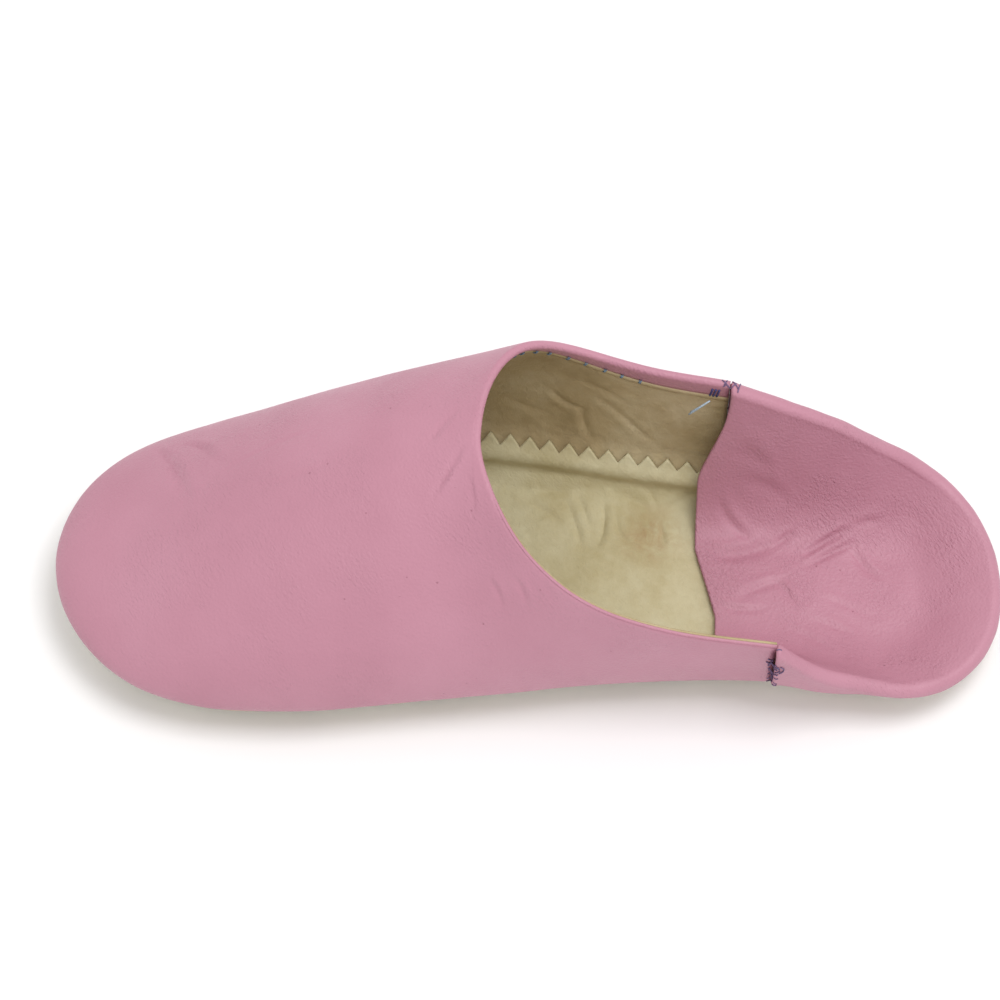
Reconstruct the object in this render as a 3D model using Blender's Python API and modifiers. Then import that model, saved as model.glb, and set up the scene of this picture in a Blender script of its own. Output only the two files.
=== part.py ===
"""Babouche slipper for the right foot, in soft leather, with its heel quarter folded down inside.

Metres, +X towards the toe, +Y towards the medial side, +Z up. The slipper stands on z = 0.
Four pieces: outsole, insole, upper (vamp and both side walls) and heel quarter.
"""

import math
from collections import namedtuple

import bmesh
import bpy
import numpy as np

# Driving dimensions
SHOE_LENGTH = 0.2569
BALL_WIDTH = 0.0865
HEEL_WIDTH = 0.0645
INSTEP_HEIGHT = 0.0740
INSTEP_ROUND = 0.0080
TOE_HEIGHT = 0.0300
MEDIAL_QUARTER_HEIGHT = 0.0415
LATERAL_QUARTER_HEIGHT = 0.0530
HEEL_WALL_RISE = 0.0015
SEAM_HEIGHT = 0.0100
TOE_CAP_LENGTH = 0.0529
HEEL_CAP_LENGTH = 0.0300
TOE_SPRING = 0.0035
HEEL_LIFT = 0.0015
ARCH_LIFT = 0.0015
TUCK = 0.0032
TUCK_HEIGHT = 0.0070
HEEL_REACH = 0.0012
TOE_DRAW = 0.0018

# Leather and joints
UPPER_WALL = 0.0022
QUARTER_WALL = 0.0015
SOLE_THICKNESS = 0.0028
SOLE_EDGE_ROUND = 0.0120
EDGE_BAND = 0.0006
INSOLE_THICKNESS = 0.0012
INSOLE_RISE = 0.0065
WALL_CORNER = 0.0020
INSOLE_DROP = 0.0045
TOOTH_PITCH = 0.0055
TOOTH_DEPTH = 0.0026
FOLD_RADIUS = 0.0023
FOLD_BULGE = 0.0040
FOLD_LEVEL = 0.0008
LOW_FOLD = 0.0130
FLAP_FOOT = 0.0030
GAP = 0.0003
WELD = 0.00001

# Places along the shoe, as shares of its length from the heel
THROAT_AT = 0.546
MEDIAL_SEAM_AT = 0.239
LATERAL_SEAM_AT = 0.289
MEDIAL_FLAP_EDGE_AT = 0.296
LATERAL_FLAP_EDGE_AT = 0.318
WAIST_FROM_AT = 0.15
WAIST_TO_AT = 0.75
ARCH_FROM_AT = 0.27
ARCH_TO_AT = 0.60
EDGE_UP_FROM_AT = 0.25
EDGE_UP_TO_AT = 0.31
EDGE_DOWN_FROM_AT = 0.72
EDGE_DOWN_TO_AT = 0.80

MEDIAL, LATERAL = 1, -1
SIDE_NAME = {MEDIAL: "medial", LATERAL: "lateral"}
SEAM_AT = {MEDIAL: MEDIAL_SEAM_AT, LATERAL: LATERAL_SEAM_AT}
FLAP_EDGE_AT = {MEDIAL: MEDIAL_FLAP_EDGE_AT, LATERAL: LATERAL_FLAP_EDGE_AT}
QUARTER_HEIGHT = {MEDIAL: MEDIAL_QUARTER_HEIGHT, LATERAL: LATERAL_QUARTER_HEIGHT}
HEEL_CENTRE_AT = HEEL_CAP_LENGTH / SHOE_LENGTH
TOE_CENTRE_AT = 1.0 - TOE_CAP_LENGTH / SHOE_LENGTH

# Sections across the last, a row at each share of the length. medial and lateral are half widths at the
# sole seam, as shares of the width there. instep and toe add up to the crown's height above the seam, as
# shares of the instep's and the toe's. The lean columns push the wall out and the breadth columns widen
# the shoulders, as shares of the half width. shift moves the crown to the medial side, by ball widths.
Section = namedtuple(
    "Section",
    "at medial lateral instep toe medial_lean lateral_lean medial_breadth lateral_breadth shift",
)
SECTIONS = (
    Section(0.000, 0.58, 0.46, 0.80, 0.0, 0.12, 0.20, 0.56, 0.58, -0.01),
    Section(0.120, 0.53, 0.50, 1.44, 0.0, 0.22, 0.21, 0.56, 0.58, -0.01),
    Section(0.248, 0.475, 0.51, 1.76, 0.0, 0.41, 0.39, 0.60, 0.73, -0.01),
    Section(0.397, 0.46, 0.52, 1.52, 0.0, 0.32, 0.43, 0.55, 0.83, -0.05),
    Section(0.496, 0.47, 0.53, 1.15, 0.0, 0.21, 0.39, 0.50, 0.91, -0.08),
    Section(0.556, 0.48, 0.53, 0.94, 0.0, 0.16, 0.35, 0.46, 0.90, -0.09),
    Section(0.645, 0.50, 0.52, 0.79, 0.0, 0.11, 0.27, 0.48, 0.78, -0.07),
    Section(0.744, 0.52, 0.50, 0.625, 0.0, 0.08, 0.18, 0.52, 0.68, -0.03),
    Section(0.844, 0.525, 0.458, 0.45, 0.0, 0.06, 0.14, 0.56, 0.62, -0.01),
    Section(0.923, 0.535, 0.465, 0.00, 1.0, 0.06, 0.12, 0.58, 0.60, -0.01),
    Section(1.000, 0.525, 0.475, 0.00, 0.9, 0.06, 0.12, 0.58, 0.60, -0.01),
)
BELLY_AT = 0.45
TURN_AT = 0.80

# The collar's height on its way from the side seam to the throat, as a share of its rise to the instep
Collar = namedtuple("Collar", "at medial lateral")
COLLAR = (
    Collar(0.00, 0.00, 0.00),
    Collar(0.35, 0.20, 0.05),
    Collar(0.65, 0.50, 0.38),
    Collar(0.90, 0.84, 0.85),
    Collar(1.00, 1.00, 1.00),
)

# The heel fold's height and bulge on its way from the back of the heel to the side seam, as shares of the
# quarter's rise and of the fold's bulge
Fold = namedtuple("Fold", "at medial lateral medial_bulge lateral_bulge")
FOLDS = (
    Fold(0.0, 0.00, 0.00, 0.85, 0.85),
    Fold(0.2, 0.03, 0.14, 0.65, 0.50),
    Fold(0.4, 0.12, 0.40, 0.35, 0.20),
    Fold(0.6, 0.24, 0.68, 0.35, 0.15),
    Fold(0.8, 0.48, 0.85, 0.60, 0.10),
    Fold(1.0, 1.00, 1.00, 0.60, 0.00),
)

# Where the flap bends on its way from the fold to the middle of the floor, as shares of the way and height.
# Over a low wall it leaves the fold nearly level, and the fold turns less.
FLAP_SPREAD = 0.15
FLAP_BEND_AT = 0.35
FLAP_FLAT_AT = 0.70
FLAP_SLIDE_FROM = 0.20
LOW_FLAP_LEAD = 0.30
LOW_FLAP_BEND_AT = 0.55
LOW_FOLD_TURN = math.radians(105)

# How finely the skins are lofted
THROAT_STATIONS = 12
VAMP_STATIONS = 9
TOE_STATIONS = 10
HEEL_STATIONS = 8
SIDE_STATIONS = 24
QUARTER_STATIONS = 11
WALL_STEPS = 10
QUARTER_STEPS = 5
LOW_CROWDING = 1.4
SPREAD_SAMPLES = 56
FOLD_STEPS = 6
FLAP_STEPS = 6
ROUND_STEPS = 4
FLAT_STEPS = 2
INSOLE_STEPS = 3


def smooth(share):
    """Soft step from 0 to 1."""
    share = min(max(share, 0.0), 1.0)
    return share * share * (3.0 - 2.0 * share)


def column(rows, name, at):
    """Value of a table's column at a share of the way, on a smooth curve through its rows."""
    places = np.array([row.at for row in rows])
    values = np.array([getattr(row, name) for row in rows])
    slopes = np.gradient(values, places)
    before = int(np.clip(np.searchsorted(places, at) - 1, 0, len(rows) - 2))
    span = places[before + 1] - places[before]
    way = float(np.clip((at - places[before]) / span, 0.0, 1.0))
    rise = values[before + 1] - values[before]
    leave = slopes[before] * span - rise
    arrive = rise - slopes[before + 1] * span
    return float(values[before] + way * rise + way * (1 - way) * ((1 - way) * leave + way * arrive))


def bezier(points, way):
    """Point on a cubic curve with four control points."""
    first, second, third, fourth = (np.array(point) for point in points)
    back = 1.0 - way
    return back**3 * first + 3 * back**2 * way * second + 3 * back * way**2 * third + way**3 * fourth


def toe_share(at):
    """1 behind the toe cap, falling to 0 at the tip as an ellipse does."""
    reach = max((at - TOE_CENTRE_AT) / (1.0 - TOE_CENTRE_AT), 0.0)
    return math.sqrt(max(1.0 - reach**2, 0.0))


def heel_share(at):
    """1 in front of the heel cap, falling to 0 at the back as an ellipse does."""
    reach = max((HEEL_CENTRE_AT - at) / HEEL_CENTRE_AT, 0.0)
    return math.sqrt(max(1.0 - reach**2, 0.0))


def local_width(at):
    """Heel width behind, ball width in front, with a soft change along the waist."""
    return HEEL_WIDTH + (BALL_WIDTH - HEEL_WIDTH) * smooth((at - WAIST_FROM_AT) / (WAIST_TO_AT - WAIST_FROM_AT))


def half_width(at):
    both = column(SECTIONS, "medial", at) + column(SECTIONS, "lateral", at)
    return both * local_width(at) / 2


def middle(at):
    """Across the shoe, the middle of the seam outline, which bends it to the right foot's curve."""
    uneven = column(SECTIONS, "medial", at) - column(SECTIONS, "lateral", at)
    return uneven * local_width(at) / 2


def toe_lift(at):
    return TOE_SPRING * smooth((at - TOE_CENTRE_AT) / (1.0 - TOE_CENTRE_AT))


def heel_lift(at):
    return HEEL_LIFT * smooth((HEEL_CENTRE_AT - at) / HEEL_CENTRE_AT)


def seam_height(at):
    """Height of the seam between sole and upper."""
    return SEAM_HEIGHT + toe_lift(at) + heel_lift(at)


def bottom_height(at):
    """Height of the sole's lower face: flat at heel and ball, lifted at toe, arch and heel."""
    way = min(max((at - ARCH_FROM_AT) / (ARCH_TO_AT - ARCH_FROM_AT), 0.0), 1.0)
    return toe_lift(at) + heel_lift(at) + ARCH_LIFT * math.sin(math.pi * way) ** 2


def wall_controls(at, side):
    """Control points of the wall across the shoe, seam to crown, as (distance from the middle, height)."""
    name = SIDE_NAME[side]
    cap = toe_share(at)
    half = half_width(at) * cap
    base = seam_height(at) + GAP + EDGE_BAND
    instep = column(SECTIONS, "instep", at) * (INSTEP_HEIGHT - SEAM_HEIGHT)
    toe = column(SECTIONS, "toe", at) * (TOE_HEIGHT - SEAM_HEIGHT)
    rise = (instep + toe) * cap
    lean = column(SECTIONS, name + "_lean", at) * half
    breadth = column(SECTIONS, name + "_breadth", at) * half
    shift = side * column(SECTIONS, "shift", at) * BALL_WIDTH * cap
    return (
        (half, base),
        (half + lean, base + BELLY_AT * rise),
        (shift + breadth, base + rise),
        (shift, base + rise),
    )


def way_to_height(controls, height):
    """Share of the way up the wall at which it reaches a height."""
    low, high = 0.0, 1.0
    if height >= controls[3][1] - WELD:
        return high
    for _ in range(30):
        guess = (low + high) / 2
        if bezier(controls, guess)[1] < height:
            low = guess
        else:
            high = guess
    return (low + high) / 2


def tuck(rise):
    """How far the wall is drawn in at a rise above the sole seam, below where it bulges over the sole."""
    share = min(max(1.0 - rise / TUCK_HEIGHT, 0.0), 1.0)
    return TUCK * share**2


def wall_out(at, side, height):
    """How far the wall's outer face stands out from the sole seam at a height."""
    controls = wall_controls(at, side)
    out = bezier(controls, way_to_height(controls, height))[0] - controls[0][0]
    return float(out) + TUCK - tuck(height - controls[0][1])


def rounded_over(height):
    """Soften the top of the instep, so that the collar's peak is round and not sharp."""
    start = INSTEP_HEIGHT - INSTEP_ROUND
    if height <= start:
        return height
    return start + INSTEP_ROUND * math.tanh((height - start) / INSTEP_ROUND)


def collar_height(at, side):
    """Height of the collar between side seam and throat."""
    way = (at - SEAM_AT[side]) / (THROAT_AT - SEAM_AT[side])
    throat = wall_controls(THROAT_AT, side)[3][1]
    rise = column(COLLAR, SIDE_NAME[side], way) * (throat - QUARTER_HEIGHT[side])
    return QUARTER_HEIGHT[side] + rise


def place(x, y, z):
    """From heel-based places to the model's frame, centred on the floor below the slipper's box."""
    return (float(x) - CENTRE_X, float(y) - CENTRE_Y, float(z))


def widest(side):
    """Furthest reach of the walls to one side."""
    reach = 0.0
    for at in np.linspace(THROAT_AT, 1.0, SPREAD_SAMPLES):
        controls = wall_controls(at, side)
        across = max(bezier(controls, way)[0] for way in np.linspace(0.0, 1.0, WALL_STEPS + 1))
        reach = max(reach, side * middle(at) + across)
    return side * reach


# Middle of the box: the fold reaches out behind the heel, and the toe is drawn in
CENTRE_X = (SHOE_LENGTH - HEEL_REACH - TOE_DRAW) / 2
CENTRE_Y = (widest(MEDIAL) + widest(LATERAL)) / 2

Spoke = namedtuple("Spoke", "at side rim foot length")


def spoke(at, side):
    """Line in plan from the seam outline to the middle, or to the centre of the toe or heel cap."""
    foot_at = min(max(at, HEEL_CENTRE_AT), TOE_CENTRE_AT)
    across = side * half_width(at) * toe_share(at) * heel_share(at)
    outline = np.array((at * SHOE_LENGTH, middle(at) + across))
    foot = np.array((foot_at * SHOE_LENGTH, middle(foot_at)))
    reach = float(np.linalg.norm(outline - foot))
    rim = foot + (outline - foot) * (reach - TUCK) / reach
    return Spoke(at, side, rim, foot, reach - TUCK)


def along(line, out):
    """Place in plan on a spoke, a distance out from the rim; inside it the distance is below zero."""
    return line.foot + (line.rim - line.foot) * (line.length + out) / line.length


def heel_stations(count):
    """Shares of the length round the heel cap, from the back to where it meets the side."""
    angles = np.linspace(math.pi / 2, 0.0, count + 1)
    return [HEEL_CENTRE_AT * (1.0 - math.sin(angle)) for angle in angles]


def toe_stations(count):
    """Shares of the length round the toe cap, from where it meets the side to the tip."""
    angles = np.linspace(0.0, math.pi / 2, count + 1)
    return [TOE_CENTRE_AT + (1.0 - TOE_CENTRE_AT) * math.sin(angle) for angle in angles]


def skin(name, halves, wall, colour, roughness):
    """Loft both halves, weld them where they meet, and thicken the skin away from its outer face."""
    body = bmesh.new()
    for side, rows in halves.items():
        rows = rows if side == MEDIAL else rows[::-1]
        points = [[body.verts.new(point) for point in row] for row in rows]
        for row, following in zip(points, points[1:]):
            for k in range(len(row) - 1):
                body.faces.new((row[k], row[k + 1], following[k + 1], following[k]))
    bmesh.ops.remove_doubles(body, verts=body.verts, dist=WELD)
    mesh = bpy.data.meshes.new(name)
    body.to_mesh(mesh)
    body.free()
    mesh.shade_smooth()
    piece = bpy.data.objects.new(name, mesh)
    bpy.data.collections["babouche_slipper"].objects.link(piece)
    thicken = piece.modifiers.new("wall", "SOLIDIFY")
    thicken.thickness = wall
    thicken.offset = -1.0
    thicken.use_quality_normals = True
    mesh.materials.append(leather(name, colour, roughness))
    return piece


def leather(name, colour, roughness):
    material = bpy.data.materials.new(name)
    material.use_nodes = True
    shader = material.node_tree.nodes["Principled BSDF"]
    shader.inputs["Base Color"].default_value = (*colour, 1.0)
    shader.inputs["Roughness"].default_value = roughness
    shader.inputs["Metallic"].default_value = 0.0
    return material


def upper_rows(side):
    """Rows of the upper's outer face, from the side seam round the throat to the toe."""
    run = np.linspace(0.0, 1.0, THROAT_STATIONS + 1)
    side_part = [SEAM_AT[side] + (THROAT_AT - SEAM_AT[side]) * (1 - (1 - way) ** 2) for way in run]
    vamp = list(np.linspace(THROAT_AT, TOE_CENTRE_AT, VAMP_STATIONS + 1))[1:]
    toe = toe_stations(TOE_STATIONS)[1:]
    rows = []
    for at in side_part + vamp + toe:
        controls = wall_controls(at, side)
        top = 1.0
        if at < THROAT_AT:
            top = way_to_height(controls, collar_height(at, side))
        ways = top * np.linspace(0.0, 1.0, WALL_STEPS + 1) ** LOW_CROWDING
        points = [bezier(controls, way) for way in ways]
        points = [points[0] - (0.0, EDGE_BAND)] + points
        line = spoke(at, side)
        out_way = (line.rim - line.foot) / line.length
        row = []
        for across, height in points:
            drawn_in = out_way * tuck(height - controls[0][1])
            x, y = np.array((at * SHOE_LENGTH, middle(at) + side * across)) - drawn_in
            row.append(place(x, y, rounded_over(height)))
        rows.append(row)
    return rows


def sole_rows(side):
    """Rows of the outsole's outer face, each from the middle out to the rim at the seam."""
    sides = list(np.linspace(HEEL_CENTRE_AT, TOE_CENTRE_AT, SIDE_STATIONS + 1))
    rows = []
    for at in heel_stations(HEEL_STATIONS)[:-1] + sides + toe_stations(TOE_STATIONS)[1:]:
        line = spoke(at, side)
        seam = seam_height(at)
        row = []
        for out in np.linspace(-line.length, -SOLE_EDGE_ROUND, FLAT_STEPS + 1):
            x, y = along(line, out)
            row.append(place(x, y, bottom_height(x / SHOE_LENGTH)))
        for angle in np.linspace(math.pi / 2, 0.0, ROUND_STEPS + 1)[1:]:
            x, y = along(line, -SOLE_EDGE_ROUND * (1.0 - math.cos(angle)))
            depth = seam - EDGE_BAND - bottom_height(x / SHOE_LENGTH)
            row.append(place(x, y, seam - EDGE_BAND - depth * math.sin(angle)))
        row.append(place(*line.rim, seam))
        rows.append(row)
    return rows


def insole_raised(at):
    """1 where the insole's edge climbs the walls, 0 under the toe and the heel."""
    rising = smooth((at - EDGE_UP_FROM_AT) / (EDGE_UP_TO_AT - EDGE_UP_FROM_AT))
    falling = smooth((at - EDGE_DOWN_FROM_AT) / (EDGE_DOWN_TO_AT - EDGE_DOWN_FROM_AT))
    return rising * (1.0 - falling)


def insole_inset(at, side, height):
    """Distance in from the seam outline to the insole's lower face."""
    seam = seam_height(at)
    under = SOLE_THICKNESS + GAP
    if height > seam + WALL_CORNER:
        out = wall_out(at, side, height)
        slope = (wall_out(at, side, height + EDGE_BAND) - out) / EDGE_BAND
        return (UPPER_WALL + 3 * GAP) * math.hypot(1.0, slope) - out
    if height > seam:
        return under
    depth = seam - bottom_height(at) - under
    share = min((seam - height) / depth, 1.0)
    return SOLE_EDGE_ROUND - (SOLE_EDGE_ROUND - under) * math.sqrt(1.0 - share**2)


def insole_rows(side):
    """Rows of the insole's lower face, each from the middle out to its pinked edge."""
    teeth = 2 * round((TOE_CENTRE_AT - HEEL_CENTRE_AT) * SHOE_LENGTH / TOOTH_PITCH)
    sides = list(np.linspace(HEEL_CENTRE_AT, TOE_CENTRE_AT, teeth + 1))
    heel = heel_stations(HEEL_STATIONS)[:-1]
    rows = []
    for index, at in enumerate(heel + sides + toe_stations(TOE_STATIONS)[1:]):
        line = spoke(at, side)
        seam = seam_height(at)
        raised = insole_raised(at)
        notch = TOOTH_DEPTH * raised if index % 2 else 0.0
        floor = bottom_height(at) + SOLE_THICKNESS + GAP
        top = seam + INSOLE_RISE * raised - INSOLE_DROP * (1 - raised) - notch
        row = []
        for out in np.linspace(-line.length, -SOLE_EDGE_ROUND, FLAT_STEPS)[:-1]:
            x, y = along(line, out)
            row.append(place(x, y, bottom_height(x / SHOE_LENGTH) + SOLE_THICKNESS + GAP))
        turn = min(seam, floor + (top - floor) * TURN_AT) - floor
        angles = np.linspace(0.0, math.pi / 2, INSOLE_STEPS)
        rising = [floor + turn * (1.0 - math.cos(angle)) for angle in angles]
        bend = rising[-1] + min(WALL_CORNER, (top - rising[-1]) / 2)
        for height in rising + [bend, top]:
            x, y = along(line, -insole_inset(at, side, height))
            lift = bottom_height(x / SHOE_LENGTH) - bottom_height(at)
            row.append(place(x, y, height + lift * max((seam - height) / (seam - floor), 0.0)))
        rows.append(row)
    return rows


def fold_centre(at, side):
    """Height of the middle of the rolled fold."""
    level_at = SEAM_AT[side] - (GAP + FOLD_LEVEL) / SHOE_LENGTH
    way = min(at / level_at, 1.0)
    low = GAP + HEEL_WALL_RISE
    full = QUARTER_HEIGHT[side] - FOLD_RADIUS - SEAM_HEIGHT - low
    return seam_height(at) + low + full * column(FOLDS, SIDE_NAME[side], way)


def quarter_profile(at, side, length):
    """Outer wall, fold and flap as (out from the seam, height, share of the slide forward), and the floor."""
    base = seam_height(at) + GAP
    centre = fold_centre(at, side)
    bulge = FOLD_BULGE * column(FOLDS, SIDE_NAME[side] + "_bulge", at / SEAM_AT[side])
    inset = SOLE_THICKNESS + QUARTER_WALL + 2 * GAP
    profile = [(0.0, base, 0.0)]
    for share in np.linspace(0.0, 1.0, QUARTER_STEPS + 1) ** LOW_CROWDING:
        height = base + EDGE_BAND + (centre - base - EDGE_BAND) * share
        profile.append((wall_out(at, side, height) + bulge * smooth(2 * share), height, 0.0))
    top = profile[-1][0]
    low = 1.0 - smooth((centre - base) / LOW_FOLD)
    turn = math.pi - (math.pi - LOW_FOLD_TURN) * low
    for angle in np.linspace(0.0, turn, FOLD_STEPS + 1)[1:]:
        out = top - FOLD_RADIUS * (1.0 - math.cos(angle))
        profile.append((out, centre + FOLD_RADIUS * math.sin(angle), 0.0))
    start = np.array(profile[-1][:2])
    floor = bottom_height(at) + SOLE_THICKNESS + INSOLE_THICKNESS + QUARTER_WALL + 3 * GAP
    run = length + start[0]
    steep = np.array((min(start[0], -inset), floor + FLAP_FOOT + (centre - floor) * FLAP_SPREAD))
    level = start + np.array((-math.sin(turn), math.cos(turn))) * run * LOW_FLAP_LEAD
    bend_at = FLAP_BEND_AT + (LOW_FLAP_BEND_AT - FLAP_BEND_AT) * low
    controls = (
        start,
        steep + (level - steep) * low,
        (start[0] - run * bend_at, floor),
        (start[0] - run * FLAP_FLAT_AT, floor),
    )
    for way in np.linspace(0.0, 1.0, FLAP_STEPS)[1:]:
        out, height = bezier(controls, way)
        slide = smooth((way - FLAP_SLIDE_FROM) / (FLAP_FLAT_AT - FLAP_SLIDE_FROM))
        profile.append((out, height, slide))
    return profile, floor


def quarter_rows(side):
    """Rows of the heel quarter's leather: up the outer wall, over the fold and down across the floor."""
    end = SEAM_AT[side] - GAP / SHOE_LENGTH
    level = end - FOLD_LEVEL / SHOE_LENGTH
    heel = heel_stations(HEEL_STATIONS)[:-1]
    rows = []
    for at in heel + list(np.linspace(HEEL_CENTRE_AT, level, QUARTER_STATIONS + 1)) + [end]:
        line = spoke(at, side)
        forward = min(max((at - HEEL_CENTRE_AT) / (level - HEEL_CENTRE_AT), 0.0), 1.0)
        foot_at = HEEL_CENTRE_AT + (FLAP_EDGE_AT[side] - HEEL_CENTRE_AT) * forward
        spine_at = HEEL_CENTRE_AT + (sum(FLAP_EDGE_AT.values()) / 2 - HEEL_CENTRE_AT) * forward
        slide = np.array((foot_at * SHOE_LENGTH, middle(foot_at))) - line.foot
        profile, floor = quarter_profile(at, side, line.length)
        row = []
        for out, height, way in profile:
            x, y = along(line, out) + slide * way
            rise = bottom_height(x / SHOE_LENGTH) - bottom_height(at)
            row.append(place(x, y, height + rise * way))
        floor += bottom_height(spine_at) - bottom_height(at)
        row.append(place(spine_at * SHOE_LENGTH, middle(spine_at), floor))
        rows.append(row)
    return rows


def build():
    for old in list(bpy.data.objects):
        bpy.data.objects.remove(old, do_unlink=True)
    collection = bpy.data.collections.new("babouche_slipper")
    bpy.context.scene.collection.children.link(collection)
    pink = (0.60, 0.27, 0.36)
    cream = (0.58, 0.49, 0.33)
    skin("outsole", {side: sole_rows(side) for side in SEAM_AT}, SOLE_THICKNESS, cream, 0.6)
    skin("insole", {side: insole_rows(side) for side in SEAM_AT}, INSOLE_THICKNESS, cream, 0.7)
    skin("upper", {side: upper_rows(side) for side in SEAM_AT}, UPPER_WALL, pink, 0.45)
    skin("heel_quarter", {side: quarter_rows(side) for side in SEAM_AT}, QUARTER_WALL, pink, 0.5)


build()
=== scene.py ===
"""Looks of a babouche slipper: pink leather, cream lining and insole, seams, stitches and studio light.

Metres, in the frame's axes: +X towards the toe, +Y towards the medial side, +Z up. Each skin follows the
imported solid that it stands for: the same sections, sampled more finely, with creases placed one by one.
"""

import math
from collections import namedtuple
from functools import lru_cache

import bmesh
import bpy
import numpy as np
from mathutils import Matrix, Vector, noise
from mathutils.bvhtree import BVHTree


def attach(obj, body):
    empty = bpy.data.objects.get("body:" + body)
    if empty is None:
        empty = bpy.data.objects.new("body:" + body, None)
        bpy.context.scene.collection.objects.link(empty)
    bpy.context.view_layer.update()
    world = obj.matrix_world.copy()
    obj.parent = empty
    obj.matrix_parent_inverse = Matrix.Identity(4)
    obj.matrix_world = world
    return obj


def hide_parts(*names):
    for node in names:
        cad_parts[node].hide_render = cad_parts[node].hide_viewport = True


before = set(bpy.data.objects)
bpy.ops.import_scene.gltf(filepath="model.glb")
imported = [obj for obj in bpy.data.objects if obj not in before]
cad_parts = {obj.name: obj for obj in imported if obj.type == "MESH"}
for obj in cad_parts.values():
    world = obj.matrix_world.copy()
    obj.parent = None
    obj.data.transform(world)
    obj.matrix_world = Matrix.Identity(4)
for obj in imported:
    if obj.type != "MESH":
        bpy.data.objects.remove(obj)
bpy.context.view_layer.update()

MEDIAL, LATERAL = 1, -1
SIDE_NAME = {MEDIAL: "medial", LATERAL: "lateral"}

# Driving dimensions, as in the solids
SHOE_LENGTH = 0.2569
BALL_WIDTH = 0.0865
HEEL_WIDTH = 0.0645
INSTEP_HEIGHT = 0.0740
INSTEP_ROUND = 0.0080
TOE_HEIGHT = 0.0300
QUARTER_HEIGHT = {MEDIAL: 0.0415, LATERAL: 0.0530}
HEEL_WALL_RISE = 0.0015
SEAM_HEIGHT = 0.0100
TOE_CAP_LENGTH = 0.0529
HEEL_CAP_LENGTH = 0.0300
TOE_SPRING = 0.0035
HEEL_LIFT = 0.0015
ARCH_LIFT = 0.0015
TUCK = 0.0032
TUCK_HEIGHT = 0.0070
HEEL_REACH = 0.0012
TOE_DRAW = 0.0018

# Leather and joints, as in the solids
UPPER_WALL = 0.0022
QUARTER_WALL = 0.0015
SOLE_THICKNESS = 0.0028
SOLE_EDGE_ROUND = 0.0120
EDGE_BAND = 0.0006
INSOLE_THICKNESS = 0.0012
INSOLE_RISE = 0.0065
WALL_CORNER = 0.0020
INSOLE_DROP = 0.0045
TOOTH_PITCH = 0.0055
TOOTH_DEPTH = 0.0026
FOLD_RADIUS = 0.0023
FOLD_BULGE = 0.0040
FOLD_LEVEL = 0.0008
LOW_FOLD = 0.0130
FLAP_FOOT = 0.0030
GAP = 0.0003
SKIN_WELD = 0.00003

# Leather details that only the looks have
SKIN = 0.0010
LINING = 0.0010
LINING_DEPTH = 0.0012
ROLL_RISE = 0.0012
ROLL = {MEDIAL: 0.0009, LATERAL: 0.0012}
ROLL_TURN = {MEDIAL: math.radians(105), LATERAL: math.radians(180)}
TURN_IN = {MEDIAL: 0.0002, LATERAL: 0.0020}
LATERAL_TURN_IN_AT_SEAM = 0.0052
COLLAR_FADE = 0.003
LATERAL_FROM = 0.325
LATERAL_TO = 0.575
NEAR_SEAM_FROM = 2 / 3
SEAM_GROOVE = 0.0006
SEAM_GROOVE_WIDTH = 0.0009
STITCH_PULL = 0.35
SIDE_RIDGE = 0.0003
SIDE_RIDGE_WIDTH = 0.0016
SIDE_GROOVE = 0.0008
SIDE_GROOVE_WIDTH = 0.0004
STITCH_PITCH = 0.0053
SIDE_STITCH_PITCH = 0.0036
THREAD_DROP = 0.0030
THREAD_RADIUS = 0.00028
FINE_THREAD_RADIUS = 0.65 * THREAD_RADIUS
THREAD_LIFT = 0.0002
STITCH_REACH = 0.0013
STITCH_LEAN = 0.0005
STITCH_OUT = 0.0001
STITCH_DIP = 0.0006
SIDE_STITCHES_FROM = 0.0165
SIDE_STITCHES_BELOW_TOP = 0.012
SIDE_STITCH_REACH = 0.0012

# Places along the shoe, as shares of its length from the heel
THROAT_AT = 0.546
SEAM_AT = {MEDIAL: 0.239, LATERAL: 0.289}
FLAP_EDGE_AT = {MEDIAL: 0.296, LATERAL: 0.318}
WAIST_FROM_AT = 0.15
WAIST_TO_AT = 0.75
ARCH_FROM_AT = 0.27
ARCH_TO_AT = 0.60
EDGE_UP_FROM_AT = 0.25
EDGE_UP_TO_AT = 0.31
EDGE_DOWN_FROM_AT = 0.72
EDGE_DOWN_TO_AT = 0.80

HEEL_CENTRE_AT = HEEL_CAP_LENGTH / SHOE_LENGTH
TOE_CENTRE_AT = 1.0 - TOE_CAP_LENGTH / SHOE_LENGTH

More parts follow.
